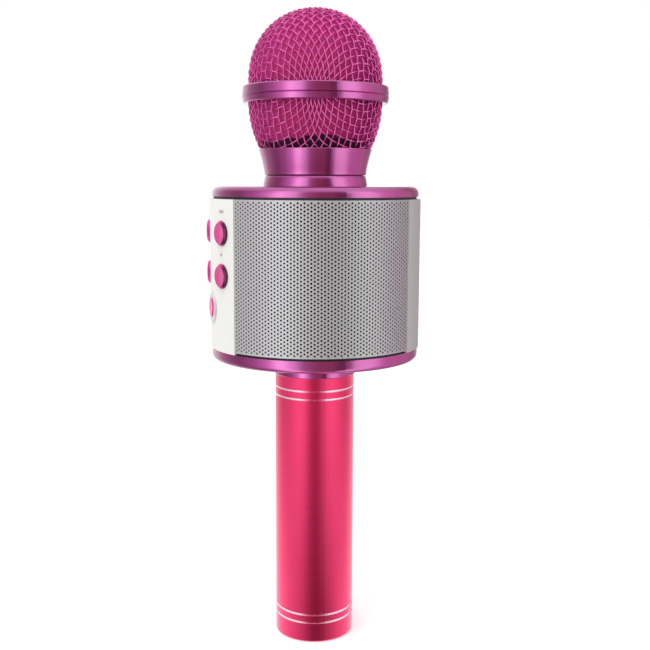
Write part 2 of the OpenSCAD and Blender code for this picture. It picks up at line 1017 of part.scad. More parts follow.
// Saucer-edged plate with a lip round the core's foot and a hub that takes the handle tube
module bottom_plate() {
    r = bottom_plate_d / 2;
    round_r = 2;
    hub_top_r = handle_r + 1.8;
    hub_foot_r = handle_r + 0.6;
    color(magenta)
        difference() {
            rotate_extrude()
                polygon(concat(
                    [[lead_hole_r, z_drum], [lead_hole_r, z_shoulder], [hub_bore_r, z_shoulder],
                        [hub_bore_r, z_hub], [hub_foot_r - 0.3, z_hub], [hub_foot_r, z_hub + 0.3],
                        [hub_top_r, z_plate]],
                    arc(r - round_r, z_plate + round_r, round_r, -90, 0),
                    [[r, z_drum + lip_h], [core_r + snug, z_drum + lip_h], [core_r + snug, z_drum]]
                ));
            tube(plate_recess_r, hub_bore_r + 2, z_drum - 1.7, z_drum + cut);
            at_drum_screws() {
                translate([0, 0, z_plate - cut])
                    cylinder(r = screw_bore_r, h = bottom_plate_h + 2 * cut);
                translate([0, 0, z_plate - 0.01])
                    cylinder(r1 = 2.66, r2 = screw_bore_r, h = 1.4);
            }
            at_handle_screws()
                translate([0, 0, z_shoulder - cut])
                    cylinder(r = handle_screw_bore_r, h = z_drum - z_shoulder + 2 * cut);
        }
}

// Countersunk screws from below into the core's bosses
module bottom_plate_screws() {
    color(steel)
        at_drum_screws()
            translate([0, 0, z_plate])
                difference() {
                    union() {
                        translate([0, 0, 0.1])
                            cylinder(r1 = 2.5, r2 = screw_shank_r, h = 1.3);
                        translate([0, 0, 1])
                            cylinder(r = screw_shank_r, h = bottom_plate_h + 3);
                    }
                    for (a = [0, 90])
                        rotate([0, 0, a])
                            translate([-1.4, -0.3, -cut])
                                cube([2.8, 0.6, cut + 0.8]);
                }
}

// Outline of the tube's outside, from its rounded foot to its top, with the turned grooves
module handle_tube() {
    foot_round = 1;
    grooves = [foot_groove_z, foot_groove_z + groove_pitch,
        handle_len - groove_inset - groove_pitch, handle_len - groove_inset];
    color(rose)
        rotate_extrude()
            polygon(concat(
                [[tube_bore_r, z_tube_top], [tube_bore_r, 0.3], [tube_bore_r + 0.3, 0]],
                arc(handle_r - foot_round, foot_round, foot_round, -90, 0, 6),
                [for (z = grooves) each [[handle_r, z - groove_w / 2], [handle_r - groove_depth, z - groove_w / 4],
                    [handle_r - groove_depth, z + groove_w / 4], [handle_r, z + groove_w / 2]]],
                [[handle_r, z_tube_top]]
            ));
}

// Sleeve in the tube's top that takes the handle screws
module handle_insert() {
    insert_h = 18;
    color(steel)
        difference() {
            tube(tube_bore_r - snug, tube_bore_r - 3.7, z_tube_top - insert_h, z_tube_top);
            at_handle_screws()
                translate([0, 0, z_tube_top - 8])
                    cylinder(r = 1, h = 8 + cut);
        }
}

module handle_screws() {
    color(steel)
        at_handle_screws()
            translate([0, 0, z_drum + 0.02])
                rotate([180, 0, 0])
                    pan_screw(0.95, 1.9, 1.4, 9);
}

// Plug that closes the tube's foot
module end_cap() {
    r = tube_bore_r - snug;
    color(rose)
        rotate_extrude()
            polygon([
                [0, 0],
                [r - 0.3, 0],
                [r, 0.3],
                [r, 7],
                [r - 1.4, 7],
                [r - 1.4, 2.4],
                [0, 2.4]
            ]);
}

tray_z0 = 9;
battery_z0 = 14;
tray_z1 = battery_z0 + battery_len + 6;

// Trough that holds the cell, open on one side
module battery_tray() {
    r = tube_bore_r - 0.3;
    color(black_plastic)
        difference() {
            translate([0, 0, tray_z0])
                cylinder(r = r, h = tray_z1 - tray_z0);
            translate([0, 0, tray_z0 + 2.5])
                cylinder(r = battery_d / 2 + 0.15, h = tray_z1 - tray_z0 - 5);
            translate([0, 0, tray_z0 - cut])
                cylinder(r = 3.5, h = tray_z1 - tray_z0 + 2 * cut);
            translate([-7.5, 0, tray_z0 + 2.5])
                cube([15, r + cut, tray_z1 - tray_z0 - 5]);
        }
}

module battery() {
    color([0.20, 0.35, 0.62]) {
        translate([0, 0, battery_z0])
            cylinder(r = battery_d / 2, h = battery_len);
        translate([0, 0, battery_z0 + battery_len - 0.1])
            cylinder(r = 3, h = 1);
    }
}

lead_r = 0.5;

// A lead that rises at (x, 0) and turns towards the main board; z_turn is the height of the turn
module corner_lead(x, z_far, z_turn) {
    translate([x, 0, min(z_far, z_turn)])
        cylinder(r = lead_r, h = abs(z_far - z_turn));
    translate([x, 0, z_turn])
        sphere(r = lead_r, $fn = 24);
    rod_y([x, 0, z_turn], lead_r, board_back_y - 0.02);
}

// Leads of the capsule, the battery and the two speakers
module wiring_leads() {
    color("red") {
        for (x = [-1.2, 1.2])
            corner_lead(x, post_top + cradle_floor, z_drum + 47);
        for (x = [-1.6, 1.6])
            corner_lead(x, battery_z0 + battery_len + 1, z_drum + 9.5);
        for (side = [-1, 1])
            for (dz = [-1.5, 1.5])
                rod_y([side * (baffle_x - 9.2), 12.75, z_speaker + dz], 0.4, board_back_y - 12.77);
    }
}

// ---------- Node selection ----------

dome_mesh();
head_ring();
lower_mesh();
head_collar();
foam_windscreen();
neck_seal();
neck_ring();
neck_nut();
capsule_post();
capsule_cradle();
mic_capsule();
top_plate();
top_plate_screws();
drum_core();
grille_right();
grille_left();
speaker_cloth();
front_panel();
power_bezel();
button_upper_right();
button_upper_left();
button_lower_right();
button_lower_left();
button_power();
plunger_upper_right();
plunger_upper_left();
plunger_lower_right();
plunger_lower_left();
plunger_power();
control_board();
switch_bodies();
rear_panel();
main_board();
usb_socket();
audio_jack();
card_socket();
wireless_module();
board_chips();
capacitors();
board_screws();
ribbon_cable();
speaker_frame_right();
speaker_frame_left();
speaker_magnet_right();
speaker_magnet_left();
speaker_cone_right();
speaker_cone_left();
speaker_surround_right();
speaker_surround_left();
speaker_screws();
bottom_plate();
bottom_plate_screws();
handle_tube();
handle_insert();
handle_screws();
end_cap();
battery_tray();
battery();
wiring_leads();
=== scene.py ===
import json
import math

import bpy
import numpy as np
from mathutils import Matrix, Vector, noise


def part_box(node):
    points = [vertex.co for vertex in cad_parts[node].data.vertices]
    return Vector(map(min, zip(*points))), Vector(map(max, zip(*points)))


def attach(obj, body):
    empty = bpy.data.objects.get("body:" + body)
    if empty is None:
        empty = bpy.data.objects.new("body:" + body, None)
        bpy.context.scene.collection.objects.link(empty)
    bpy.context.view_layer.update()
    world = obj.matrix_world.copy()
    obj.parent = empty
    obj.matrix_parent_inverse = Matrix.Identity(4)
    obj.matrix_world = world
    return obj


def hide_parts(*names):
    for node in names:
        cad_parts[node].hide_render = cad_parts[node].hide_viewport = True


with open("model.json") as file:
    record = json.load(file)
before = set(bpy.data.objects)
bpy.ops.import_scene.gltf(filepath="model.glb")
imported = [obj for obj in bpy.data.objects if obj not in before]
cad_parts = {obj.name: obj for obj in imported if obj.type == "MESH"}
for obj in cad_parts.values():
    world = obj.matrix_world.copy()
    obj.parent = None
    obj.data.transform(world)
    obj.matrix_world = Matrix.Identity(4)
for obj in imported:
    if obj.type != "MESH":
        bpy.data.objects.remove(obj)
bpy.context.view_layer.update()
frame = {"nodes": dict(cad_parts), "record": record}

# The looks of a handheld karaoke microphone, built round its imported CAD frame.
# Units are metres. Z runs up the handle's axis and the button panel faces -Y.

MM = 0.001
NODES = frame["nodes"]
SLOT_OF = {part["node"]: part["material_slot"] for part in frame["record"]["subparts"]}

# How near two readings of the CAD mesh may be before they count as one, and how many vertices a
# whole ring of it has at least
ON_AXIS = 1e-6
SAME_ANGLE = 1e-5
SAME_RADIUS = 1e-5
LEAST_RING = 60


# ---------- Mesh helpers ----------

def add_piece(name, verts, faces, body, material, replaces=()):
    """A smooth-shaded mesh piece that rides on a body and may stand for CAD nodes."""
    mesh = bpy.data.meshes.new(name)
    mesh.from_pydata(np.asarray(verts).tolist(), [], [tuple(f) for f in faces])
    mesh.update()
    mesh.polygons.foreach_set("use_smooth", [True] * len(mesh.polygons))
    mesh.materials.append(material)
    piece = bpy.data.objects.new(name, mesh)
    bpy.context.scene.collection.objects.link(piece)
    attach(piece, body)
    if replaces:
        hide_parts(*replaces)
    return piece


def cad_profile(node):
    """The (r, z) outline of a CAD solid of revolution, as a loop in order, read from its mesh.

    A point of the outline is a ring of more than LEAST_RING vertices, or lies on the axis.
    """
    mesh = NODES[node].data
    co = np.array([v.co for v in mesh.vertices])
    keys = [tuple(k) for k in np.round(np.stack([np.hypot(co[:, 0], co[:, 1]), co[:, 2]], 1), 6)]
    angle = np.arctan2(co[:, 1], co[:, 0])
    counts = {}
    for key in keys:
        counts[key] = counts.get(key, 0) + 1
    links = {}
    for edge in mesh.edges:
        a, b = edge.vertices
        meets_axis = min(keys[a][0], keys[b][0]) < ON_AXIS
        same_side = meets_axis or abs(angle[a] - angle[b]) < SAME_ANGLE
        whole = all(counts[keys[v]] > LEAST_RING or keys[v][0] < ON_AXIS for v in (a, b))
        if keys[a] != keys[b] and same_side and whole:
            links.setdefault(keys[a], set()).add(keys[b])
            links.setdefault(keys[b], set()).add(keys[a])
    start = min(links, key=lambda k: (len(links[k]), k[1]))
    loop = [start]
    while True:
        nearer = [k for k in links[loop[-1]] if k not in loop]
        if not nearer:
            return loop
        loop.append(min(nearer, key=lambda k: math.dist(k, loop[-1])))


EDGE_ENDS = {}


def radii_at(node, z):
    """Radii at which the edges of a CAD solid cross the height z; EDGE_ENDS keeps what was read."""
    if node not in EDGE_ENDS:
        mesh = NODES[node].data
        co = np.array([v.co for v in mesh.vertices])
        ends = np.array([tuple(e.vertices) for e in mesh.edges])
        EDGE_ENDS[node] = co[ends[:, 0]], co[ends[:, 1]]
    low, high = EDGE_ENDS[node]
    crossing = (low[:, 2] - z) * (high[:, 2] - z) < 0
    low, high = low[crossing], high[crossing]
    share = ((z - low[:, 2]) / (high[:, 2] - low[:, 2]))[:, None]
    point = low + share * (high - low)
    return np.hypot(point[:, 0], point[:, 1])


def node_heights(node):
    low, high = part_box(node)
    return low.z, high.z


def heights_towards_top(low, high, count):
    """Heights from just above low to high, closest together at the top."""
    just_above = 0.001 * MM
    t = np.linspace(0, 1, count + 1)[:-1]
    return low + just_above + (high - low) * (1 - (1 - t) ** 2)


def sheet_extent(node, side):
    """(outer, inner) radius, (first, last) angle and (foot, top) of a CAD sheet bent round Z.

    Side is 1 for its half to the right of the panel's middle, and -1 for the left, mirrored.
    """
    co = np.array([v.co for v in NODES[node].data.vertices])
    co = co[co[:, 0] * side > 0]
    radii = np.hypot(co[:, 0], co[:, 1])
    angles = np.arctan2(co[:, 1], co[:, 0] * side)
    return ((float(radii.max()), float(radii.min())), (float(angles.min()), float(angles.max())),
            (float(co[:, 2].min()), float(co[:, 2].max())))


def lathe(profile, turns, shape):
    """Vertices and faces of a closed profile turned round Z; shape gives the radii of each ring."""
    theta = np.linspace(0, 2 * math.pi, turns, endpoint=False)
    verts, rings = [], []
    for r, z in profile:
        first = len(verts)
        if r < ON_AXIS:
            verts.append((0.0, 0.0, z))
            rings.append([first] * turns)
            continue
        radius = shape(r, z, theta)
        verts.extend(zip(radius * np.cos(theta), radius * np.sin(theta), np.full(turns, z)))
        rings.append(list(range(first, first + turns)))
    faces = []
    for low, high in zip(rings, rings[1:] + rings[:1]):
        for j in range(turns):
            m = (j + 1) % turns
            corners = list(dict.fromkeys((low[j], low[m], high[m], high[j])))
            if len(corners) > 2:
                faces.append(corners)
    return np.array(verts), faces


# ---------- Material helpers ----------

class ShaderTree:
    """Short calls that add nodes to the shader of a material or of the world."""

    def __init__(self, owner):
        owner.use_nodes = True
        self.tree = owner.node_tree

    def feed(self, socket, value):
        if isinstance(value, bpy.types.NodeSocket):
            self.tree.links.new(value, socket)
        else:
            socket.default_value = value

    def node(self, kind, inputs=None, **settings):
        made = self.tree.nodes.new(kind)
        for key, value in settings.items():
            setattr(made, key, value)
        for key, value in (inputs or {}).items():
            self.feed(made.inputs[key], value)
        return made

    def math(self, operation, a, b=0.0, c=0.0):
        return self.node("ShaderNodeMath", {0: a, 1: b, 2: c}, operation=operation).outputs[0]

    def vector_math(self, operation, a, b):
        return self.node("ShaderNodeVectorMath", {0: a, 1: b}, operation=operation).outputs

    def axes(self, vector):
        return self.node("ShaderNodeSeparateXYZ", {0: vector}).outputs

    def map_range(self, value, low, high, new_low=0.0, new_high=1.0):
        inputs = {0: value, 1: low, 2: high, 3: new_low, 4: new_high}
        return self.node("ShaderNodeMapRange", inputs).outputs[0]

    def mix(self, fac, a, b):
        made = self.node("ShaderNodeMix", data_type="RGBA")
        for index, value in ((0, fac), (6, a), (7, b)):
            if isinstance(value, tuple):
                value = (*value, 1.0)
            self.feed(made.inputs[index], value)
        return made.outputs[2]


class Shader(ShaderTree):
    """A material with a Principled BSDF, its grain and its bumps."""

    def __init__(self, name):
        self.material = bpy.data.materials.new(name)
        super().__init__(self.material)
        self.bsdf = self.tree.nodes["Principled BSDF"]
        self.position = self.node("ShaderNodeTexCoord").outputs["Object"]

    def set(self, **values):
        for key, value in values.items():
            self.feed(self.bsdf.inputs[key.replace("_", " ")], value)

    def noise(self, scale, detail=2.0, vector=None, roughness=0.5):
        inputs = {"Scale": scale, "Detail": detail, "Roughness": roughness,
                  "Vector": vector or self.position}
        return self.node("ShaderNodeTexNoise", inputs).outputs["Fac"]

    def cells(self, scale, output="Distance"):
        inputs = {"Scale": scale, "Vector": self.position}
        return self.node("ShaderNodeTexVoronoi", inputs).outputs[output]

    def bump(self, height, strength, distance):
        inputs = {"Height": height, "Strength": strength, "Distance": distance}
        self.set(Normal=self.node("ShaderNodeBump", inputs).outputs["Normal"])

    def radius_height(self):
        """(distance from the Z axis, height, 0), for marks left by a lathe."""
        axes = self.axes(self.position)
        square = self.math("MULTIPLY", axes["X"], axes["X"])
        square = self.math("MULTIPLY_ADD", axes["Y"], axes["Y"], square)
        radius = self.math("SQRT", square)
        return self.node("ShaderNodeCombineXYZ", {0: radius, 1: axes["Z"]}).outputs[0]

    def level_normalised(self, direction):
        """The direction laid level, at unit length."""
        level = self.vector_math("MULTIPLY", direction, (1, 1, 0))[0]
        return self.node("ShaderNodeVectorMath", {0: level}, operation="NORMALIZE").outputs[0]


FLAKE_SCALE = 5000.0


def lacquered_metal(name, colour, deep, roughness, coat, metallic=0.92):
    """Metallic lacquer: fine flakes, faint lathe marks and a clear coat."""
    s = Shader(name)
    flakes = s.cells(FLAKE_SCALE, output="Color")
    tone = s.map_range(s.noise(60.0, 3.0), 0.3, 0.7)
    s.set(Base_Color=s.mix(tone, deep, colour), Metallic=metallic)
    lathe_marks = s.noise(5200.0, 2.0, s.radius_height())
    grain = s.math("MULTIPLY_ADD", lathe_marks, 0.5, flakes)
    s.set(Roughness=s.map_range(grain, 0.0, 1.4, roughness - 0.05, roughness + 0.07))
    s.set(Coat_Weight=coat, Coat_Roughness=0.12)
    s.bump(grain, 0.05, 0.00004)
    return s.material


def anodised_metal(name, colour, deep):
    """Satin anodised aluminium with fine turning marks round the tube."""
    s = Shader(name)
    turned = s.noise(4200.0, 3.0, s.radius_height())
    cloud = s.noise(45.0, 3.0)
    s.set(Base_Color=s.mix(s.map_range(cloud, 0.3, 0.7), deep, colour), Metallic=0.95)
    s.set(Roughness=s.map_range(turned, 0.3, 0.7, 0.27, 0.36))
    s.set(Coat_Weight=0.15, Coat_Roughness=0.25)
    s.bump(turned, 0.06, 0.00005)
    return s.material


def bright_cut(name, colour, dull):
    """Bare turned metal, whose colour carries a painted glint: bright at its sides and dull where it
    faces the viewer.
    """
    s = Shader(name)
    geometry = s.node("ShaderNodeNewGeometry").outputs
    normal = s.level_normalised(geometry["Normal"])
    view = s.level_normalised(geometry["Incoming"])
    facing = s.vector_math("DOT_PRODUCT", normal, view)["Value"]
    # Painted glint: the base colour turns bright where the groove's side is turned away from the viewer.
    painted_glint = s.map_range(facing, 0.995, 0.93)
    # Looked at straight along its normal, as when it is baked, the painted glint is bright all round.
    painted_glint = s.math("MAXIMUM", painted_glint, s.math("GREATER_THAN", facing, 0.99999))
    turned = s.noise(4200.0, 3.0, s.radius_height())
    s.set(Base_Color=s.mix(painted_glint, dull, colour), Metallic=0.95)
    s.set(Roughness=s.map_range(turned, 0.3, 0.7, 0.25, 0.34))
    s.bump(turned, 0.05, 0.00005)
    return s.material


def painted_sheet(name, colour):
    """Silver paint on the perforated sheet."""
    s = Shader(name)
    fleck = s.noise(5200.0, 2.0)
    s.set(Base_Color=s.mix(fleck, tuple(c * 0.86 for c in colour), colour), Metallic=0.35)
    s.set(Roughness=s.map_range(fleck, 0.3, 0.7, 0.38, 0.48))
    s.bump(fleck, 0.08, 0.00004)
    return s.material


def pearl_plastic(name, colour):
    """Pearl silver paint on moulded plastic, with a soft orange peel."""
    s = Shader(name)
    fleck = s.cells(6500.0, output="Color")
    s.set(Base_Color=s.mix(fleck, tuple(c * 0.95 for c in colour), colour))
    s.set(Roughness=s.map_range(fleck, 0.0, 1.0, 0.34, 0.44), Specular_IOR_Level=0.25)
    s.set(Coat_Weight=0.1, Coat_Roughness=0.2)
    s.bump(s.noise(900.0, 2.0), 0.05, 0.00005)
    return s.material


def foam_material(name, colour, pore, shade, hem_shadow, hem_top):
    """Open-cell foam: two pore sizes, painted shade towards its sides at grazing view, and a wavy hem of
    painted shadow at its foot.
    """
    s = Shader(name)
    hem_wave, hem_blend = 6 * MM, 0.3 * MM
    hem_edge = hem_top - hem_wave / 2
    pores = s.cells(1500.0)
    fine = s.noise(4200.0, 4.0, roughness=0.7)
    height = s.math("MULTIPLY_ADD", fine, 0.6, pores)
    # The hem is painted shadow: below a wavy line just above the collar the foam turns nearly black.
    level = s.math("MULTIPLY_ADD", s.noise(95.0, 1.0), -hem_wave, s.axes(s.position)["Z"])
    above_hem_shadow = s.map_range(level, hem_edge - hem_blend, hem_edge + hem_blend)
    cellular = s.mix(s.map_range(height, 0.3, 0.95), pore, colour)
    # Painted shade: towards grazing view the foam is mixed to the darker shade colour, standing for the
    # wires' shadows.
    facing = s.node("ShaderNodeLayerWeight", {"Blend": 0.5}).outputs["Facing"]
    cellular = s.mix(s.map_range(facing, 0.08, 0.5, 0.0, 0.7), cellular, shade)
    s.set(Base_Color=s.mix(above_hem_shadow, hem_shadow, cellular), Roughness=0.95)
    s.bump(height, 0.8, 0.0003)
    return s.material


def cloth_material(name, colour):
    """Plain woven acoustic cloth."""
    s = Shader(name)
    weave = s.node("ShaderNodeTexWave", {"Vector": s.position, "Scale": 900.0}, bands_direction="Z")
    height = s.math("ADD", weave.outputs["Fac"], s.noise(3000.0))
    s.set(Base_Color=s.mix(height, tuple(c * 0.5 for c in colour), colour), Roughness=0.95)
    s.bump(height, 0.5, 0.0001)
    return s.material


# Rise along Y, for one along X, of the direction across the panel at a button column
BUTTON_TILT = 0.28


def shaded_button_flank(name, lit, deep):
    """Lacquer of a button's side with painted shade, which darkens it smoothly towards the nearer
    grille.
    """
    s = Shader(name)
    normal = s.axes(s.node("ShaderNodeNewGeometry").outputs["Normal"])
    outward = s.math("MULTIPLY", normal["X"], s.math("SIGN", s.axes(s.position)["X"]))
    outward = s.math("MULTIPLY_ADD", normal["Y"], BUTTON_TILT, outward)
    flakes = s.cells(FLAKE_SCALE, output="Color")
    # Painted shade: the side's colour goes from lit to deep as it turns towards the nearer grille.
    s.set(Base_Color=s.mix(s.map_range(outward, 0.0, 0.45), lit, deep), Metallic=0.55)
    s.set(Roughness=s.map_range(flakes, 0.0, 1.0, 0.26, 0.34))
    s.set(Coat_Weight=0.15, Coat_Roughness=0.12)
    s.bump(flakes, 0.05, 0.00004)
    return s.material


def moulded(name, colour, roughness=0.5, grain=1800.0, metallic=0.0, depth=0.15, spread=0.85):
    """Moulded plastic, rubber, plated steel and the like: grain, slight tone and roughness shifts."""
    s = Shader(name)
    fine = s.noise(grain, 3.0)
    s.set(Base_Color=s.mix(s.noise(150.0, 3.0), tuple(c * spread for c in colour), colour))
    s.set(Metallic=metallic)
    s.set(Roughness=s.map_range(fine, 0.3, 0.7, roughness - 0.06, roughness + 0.08))
    s.bump(fine, depth, 0.00006)
    return s.material


def circuit_board(name, mask, copper):
    """Solder mask over faint copper tracks."""
    s = Shader(name)
    inputs = {"Vector": s.position, "Scale": 420.0}
    tracks = s.node("ShaderNodeTexBrick", inputs, offset=0.37).outputs["Fac"]
    s.set(Base_Color=s.mix(s.math("MULTIPLY", tracks, 0.6), mask, copper))
    s.set(Roughness=0.35, Coat_Weight=0.4)
    s.bump(tracks, 0.3, 0.00005)
    return s.material


# Height above the collar of the top of the foam's hem, a band of painted shadow at its foot
HEM_SHADOW_HEIGHT = 3.3 * MM

MATERIALS = {
    "magenta_metal": lacquered_metal("magenta_lacquer", (0.43, 0.085, 0.305), (0.41, 0.08, 0.29),
                                     roughness=0.2, coat=1.0),
    "pink_wire": lacquered_metal("pink_wire_lacquer", (0.77, 0.15, 0.46), (0.68, 0.11, 0.39),
                                 roughness=0.34, coat=0.5),
    "rose_anodised": anodised_metal("rose_anodised", (0.88, 0.055, 0.18), (0.84, 0.047, 0.16)),
    "silver_sheet": painted_sheet("silver_sheet", (0.555, 0.575, 0.565)),
    "pale_panel": pearl_plastic("pearl_panel", (0.84, 0.85, 0.81)),
    "bezel_silver": moulded("bezel_silver", (0.80, 0.80, 0.80), 0.28, metallic=0.3, depth=0.05),
    "button_pink": lacquered_metal("button_lacquer", (0.86, 0.05, 0.37), (0.80, 0.045, 0.33),
                                   roughness=0.24, coat=0.8, metallic=0.45),
    # The foam's shade and hem colours are painted shade: darker at its sides and at its foot above the
    # collar.
    "windscreen_foam": foam_material("windscreen_foam", colour=(0.66, 0.044, 0.22),
                                     pore=(0.34, 0.016, 0.10), shade=(0.52, 0.022, 0.27),
                                     hem_shadow=(0.035, 0.002, 0.024),
                                     hem_top=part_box("head_collar")[1].z + HEM_SHADOW_HEIGHT),
    "speaker_cloth": cloth_material("speaker_cloth", (0.055, 0.045, 0.048)),
    "black_plastic": moulded("black_plastic", (0.03, 0.03, 0.032), 0.5),
    "black_rubber": moulded("black_rubber", (0.02, 0.02, 0.02), 0.75, 2500.0, depth=0.3),
    "bright_steel": moulded("zinc_plate", (0.58, 0.58, 0.60), 0.32, 2600.0, 1.0, 0.08),
    "magnet_dark": moulded("magnet", (0.05, 0.05, 0.055), 0.45, 900.0, 0.5, 0.3),
    "cone_paper": moulded("cone_paper", (0.035, 0.035, 0.035), 0.85, 1400.0, depth=0.5, spread=0.6),
    "board_green": circuit_board("circuit_board", (0.01, 0.11, 0.045), (0.03, 0.2, 0.07)),
    "chip_black": moulded("chip_black", (0.02, 0.02, 0.021), 0.55, 3000.0),
    "cell_wrap": moulded("cell_wrap", (0.03, 0.10, 0.35), 0.3, 500.0, depth=0.1),
    "ribbon_grey": moulded("ribbon_cable", (0.45, 0.45, 0.45), 0.5, 1200.0),
    "lead_red": moulded("lead_insulation", (0.55, 0.02, 0.02), 0.45, 1500.0),
}
CUT_EDGE = bright_cut("bright_cut", (1.0, 0.78, 0.85), (0.93, 0.16, 0.3))
# The flank's deep colour is painted shade on the sides that turn towards the grilles.
SHADED_BUTTON_FLANK = shaded_button_flank("shaded_button_flank", (0.83, 0.048, 0.35), (0.08, 0.003, 0.04))
MARK_INK = moulded("printed_mark", (0.34, 0.34, 0.33), 0.6, 2500.0)


# ---------- Carried-over CAD nodes ----------

SHARP_ANGLE = math.radians(28)
SOFT_EDGE = 0.12 * MM
SOFT_EDGED = ("head_ring", "head_collar", "top_plate", "bottom_plate", "power_bezel", "end_cap")


def finish_cad_node(node):
    """Gives a CAD node its material, smooth shading and, on lacquered rims, softened edges."""
    solid = NODES[node]
    solid.data.materials.clear()
    solid.data.materials.append(MATERIALS[SLOT_OF[node]])
    solid.data.polygons.foreach_set("use_smooth", [True] * len(solid.data.polygons))
    solid.data.set_sharp_from_angle(angle=SHARP_ANGLE)
    if node in SOFT_EDGED:
        bevel = solid.modifiers.new("soft_edges", "BEVEL")
        bevel.width, bevel.segments = SOFT_EDGE, 2
        bevel.limit_method, bevel.angle_limit = "ANGLE", SHARP_ANGLE
        bevel.harden_normals = True


def repaint(node, material, chosen):
    """A second material on the faces of a CAD node that satisfy chosen(face)."""
    mesh = NODES[node].data
    mesh.materials.append(material)
    for face in mesh.polygons:
        if chosen(face):
            face.material_index = len(mesh.materials) - 1


def brighten_grooves():
    """The grooves of the handle are cut through the dye down to bright metal, whose colour also carries
    a painted glint.
    """
    tube_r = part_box("handle_tube")[1].x
    shallowest, deepest, above_foot = 0.04 * MM, 0.5 * MM, 2 * MM

    def in_groove(face):
        return face.center.z > above_foot and shallowest < tube_r - face.center.xy.length < deepest

    repaint("handle_tube", CUT_EDGE, in_groove)


def shade_button_sides():
    """The rims and sides of the round buttons take the lacquer with painted shade that darkens towards
    the grilles.
    """
    front_facing = 0.9
    for key in ("upper_right", "upper_left", "lower_right", "lower_left"):
        low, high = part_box("button_" + key)
        axis = Vector(((low.x + high.x) / 2, (low.y + high.y) / 2, 0)).normalized()
        repaint("button_" + key, SHADED_BUTTON_FLANK, lambda face: abs(face.normal.dot(axis)) < front_facing)


for cad_node in NODES:
    finish_cad_node(cad_node)
brighten_grooves()
shade_button_sides()


# ---------- Woven wire of the dome and the basket ----------

WIRE_D = 0.5 * MM
WEAVE_LIFT = 0.6 * WIRE_D
MESH_PITCH = 2.75 * MM
WIRE_SIDES = 8
SAMPLES_PER_CELL = 6
WEAVE_ANGLE = math.radians(28.5)
OUTLINE_SAMPLES = 1200


class RoundSurface:
    """A surface of revolution, sampled along its outline from the axis outwards."""

    def __init__(self, outline, outward):
        points = np.array(outline, float)
        steps = np.hypot(*np.diff(points, axis=0).T)
        length = np.concatenate([[0.0], np.cumsum(steps)])
        self.s = np.linspace(0, length[-1], OUTLINE_SAMPLES)
        self.r = np.interp(self.s, length, points[:, 0])
        self.z = np.interp(self.s, length, points[:, 1])
        self.dr = self.smooth(np.gradient(self.r, self.s))
        self.dz = self.smooth(np.gradient(self.z, self.s))
        self.outward = outward

    @staticmethod
    def smooth(values, width=25):
        """A running mean over width samples, which must be odd."""
        padded = np.pad(values, width // 2, mode="edge")
        return np.convolve(padded, np.ones(width) / width, mode="valid")

    def at(self, s, theta):
        r, z = np.interp(s, self.s, self.r), np.interp(s, self.s, self.z)
        return np.array([r * math.cos(theta), r * math.sin(theta), z])

    def slopes(self, s, theta):
        r = np.interp(s, self.s, self.r)
        dr, dz = np.interp(s, self.s, self.dr), np.interp(s, self.s, self.dz)
        along = np.array([dr * math.cos(theta), dr * math.sin(theta), dz])
        across = np.array([-r * math.sin(theta), r * math.cos(theta), 0.0])
        return along, across

    def normal(self, point):
        theta = math.atan2(point[1], point[0])
        s = self.nearest(point)
        dr, dz = np.interp(s, self.s, self.dr), np.interp(s, self.s, self.dz)
        out = np.array([-dz * math.cos(theta), -dz * math.sin(theta), dr]) * self.outward
        return out / np.linalg.norm(out)

    def nearest(self, point):
        r = math.hypot(point[0], point[1])
        return self.s[np.argmin((self.r - r) ** 2 + (self.z - point[2]) ** 2)]

    def corner(self, a, b, c, pitch):
        """The point one pitch from both a and b, on the far side from c, by Newton's method."""
        rounds, largest_turn, flat = 12, 0.3, 1e-16
        guess = a + b - c
        s, theta = self.nearest(guess), math.atan2(guess[1], guess[0])
        for _ in range(rounds):
            point = self.at(s, theta)
            along, across = self.slopes(s, theta)
            miss = np.array([(point - a) @ (point - a), (point - b) @ (point - b)]) - pitch * pitch
            slope = 2 * np.array([[(point - a) @ along, (point - a) @ across],
                                  [(point - b) @ along, (point - b) @ across]])
            if abs(np.linalg.det(slope)) < flat:
                return None
            ds, dtheta = np.linalg.solve(slope, -miss)
            s += float(np.clip(ds, -pitch, pitch))
            theta += float(np.clip(dtheta, -largest_turn, largest_turn))
        inside = 0 < s < self.s[-1]
        return self.at(s, theta) if inside else None


def draped_net(surface, pitch):
    """Crossings of a square wire cloth drawn over the surface, keyed by (i, j) from the middle."""
    count = int(surface.s[-1] / pitch)
    quarter = {(0, 0): surface.at(0, 0)}
    for i in range(1, count + 1):
        quarter[i, 0] = surface.at(i * pitch, 0)
        quarter[0, i] = surface.at(i * pitch, math.pi / 2)
    for total in range(2, 2 * count + 1):
        for i in range(1, total):
            j = total - i
            known = [quarter.get(k) for k in ((i - 1, j), (i, j - 1), (i - 1, j - 1))]
            if all(k is not None for k in known):
                found = surface.corner(*known, pitch)
                if found is not None:
                    quarter[i, j] = found
    net = {}
    for (i, j), point in quarter.items():
        spot = point
        for _ in range(4):
            net[i, j] = spot
            i, j = -j, i
            spot = np.array([-spot[1], spot[0], spot[2]])
    return net


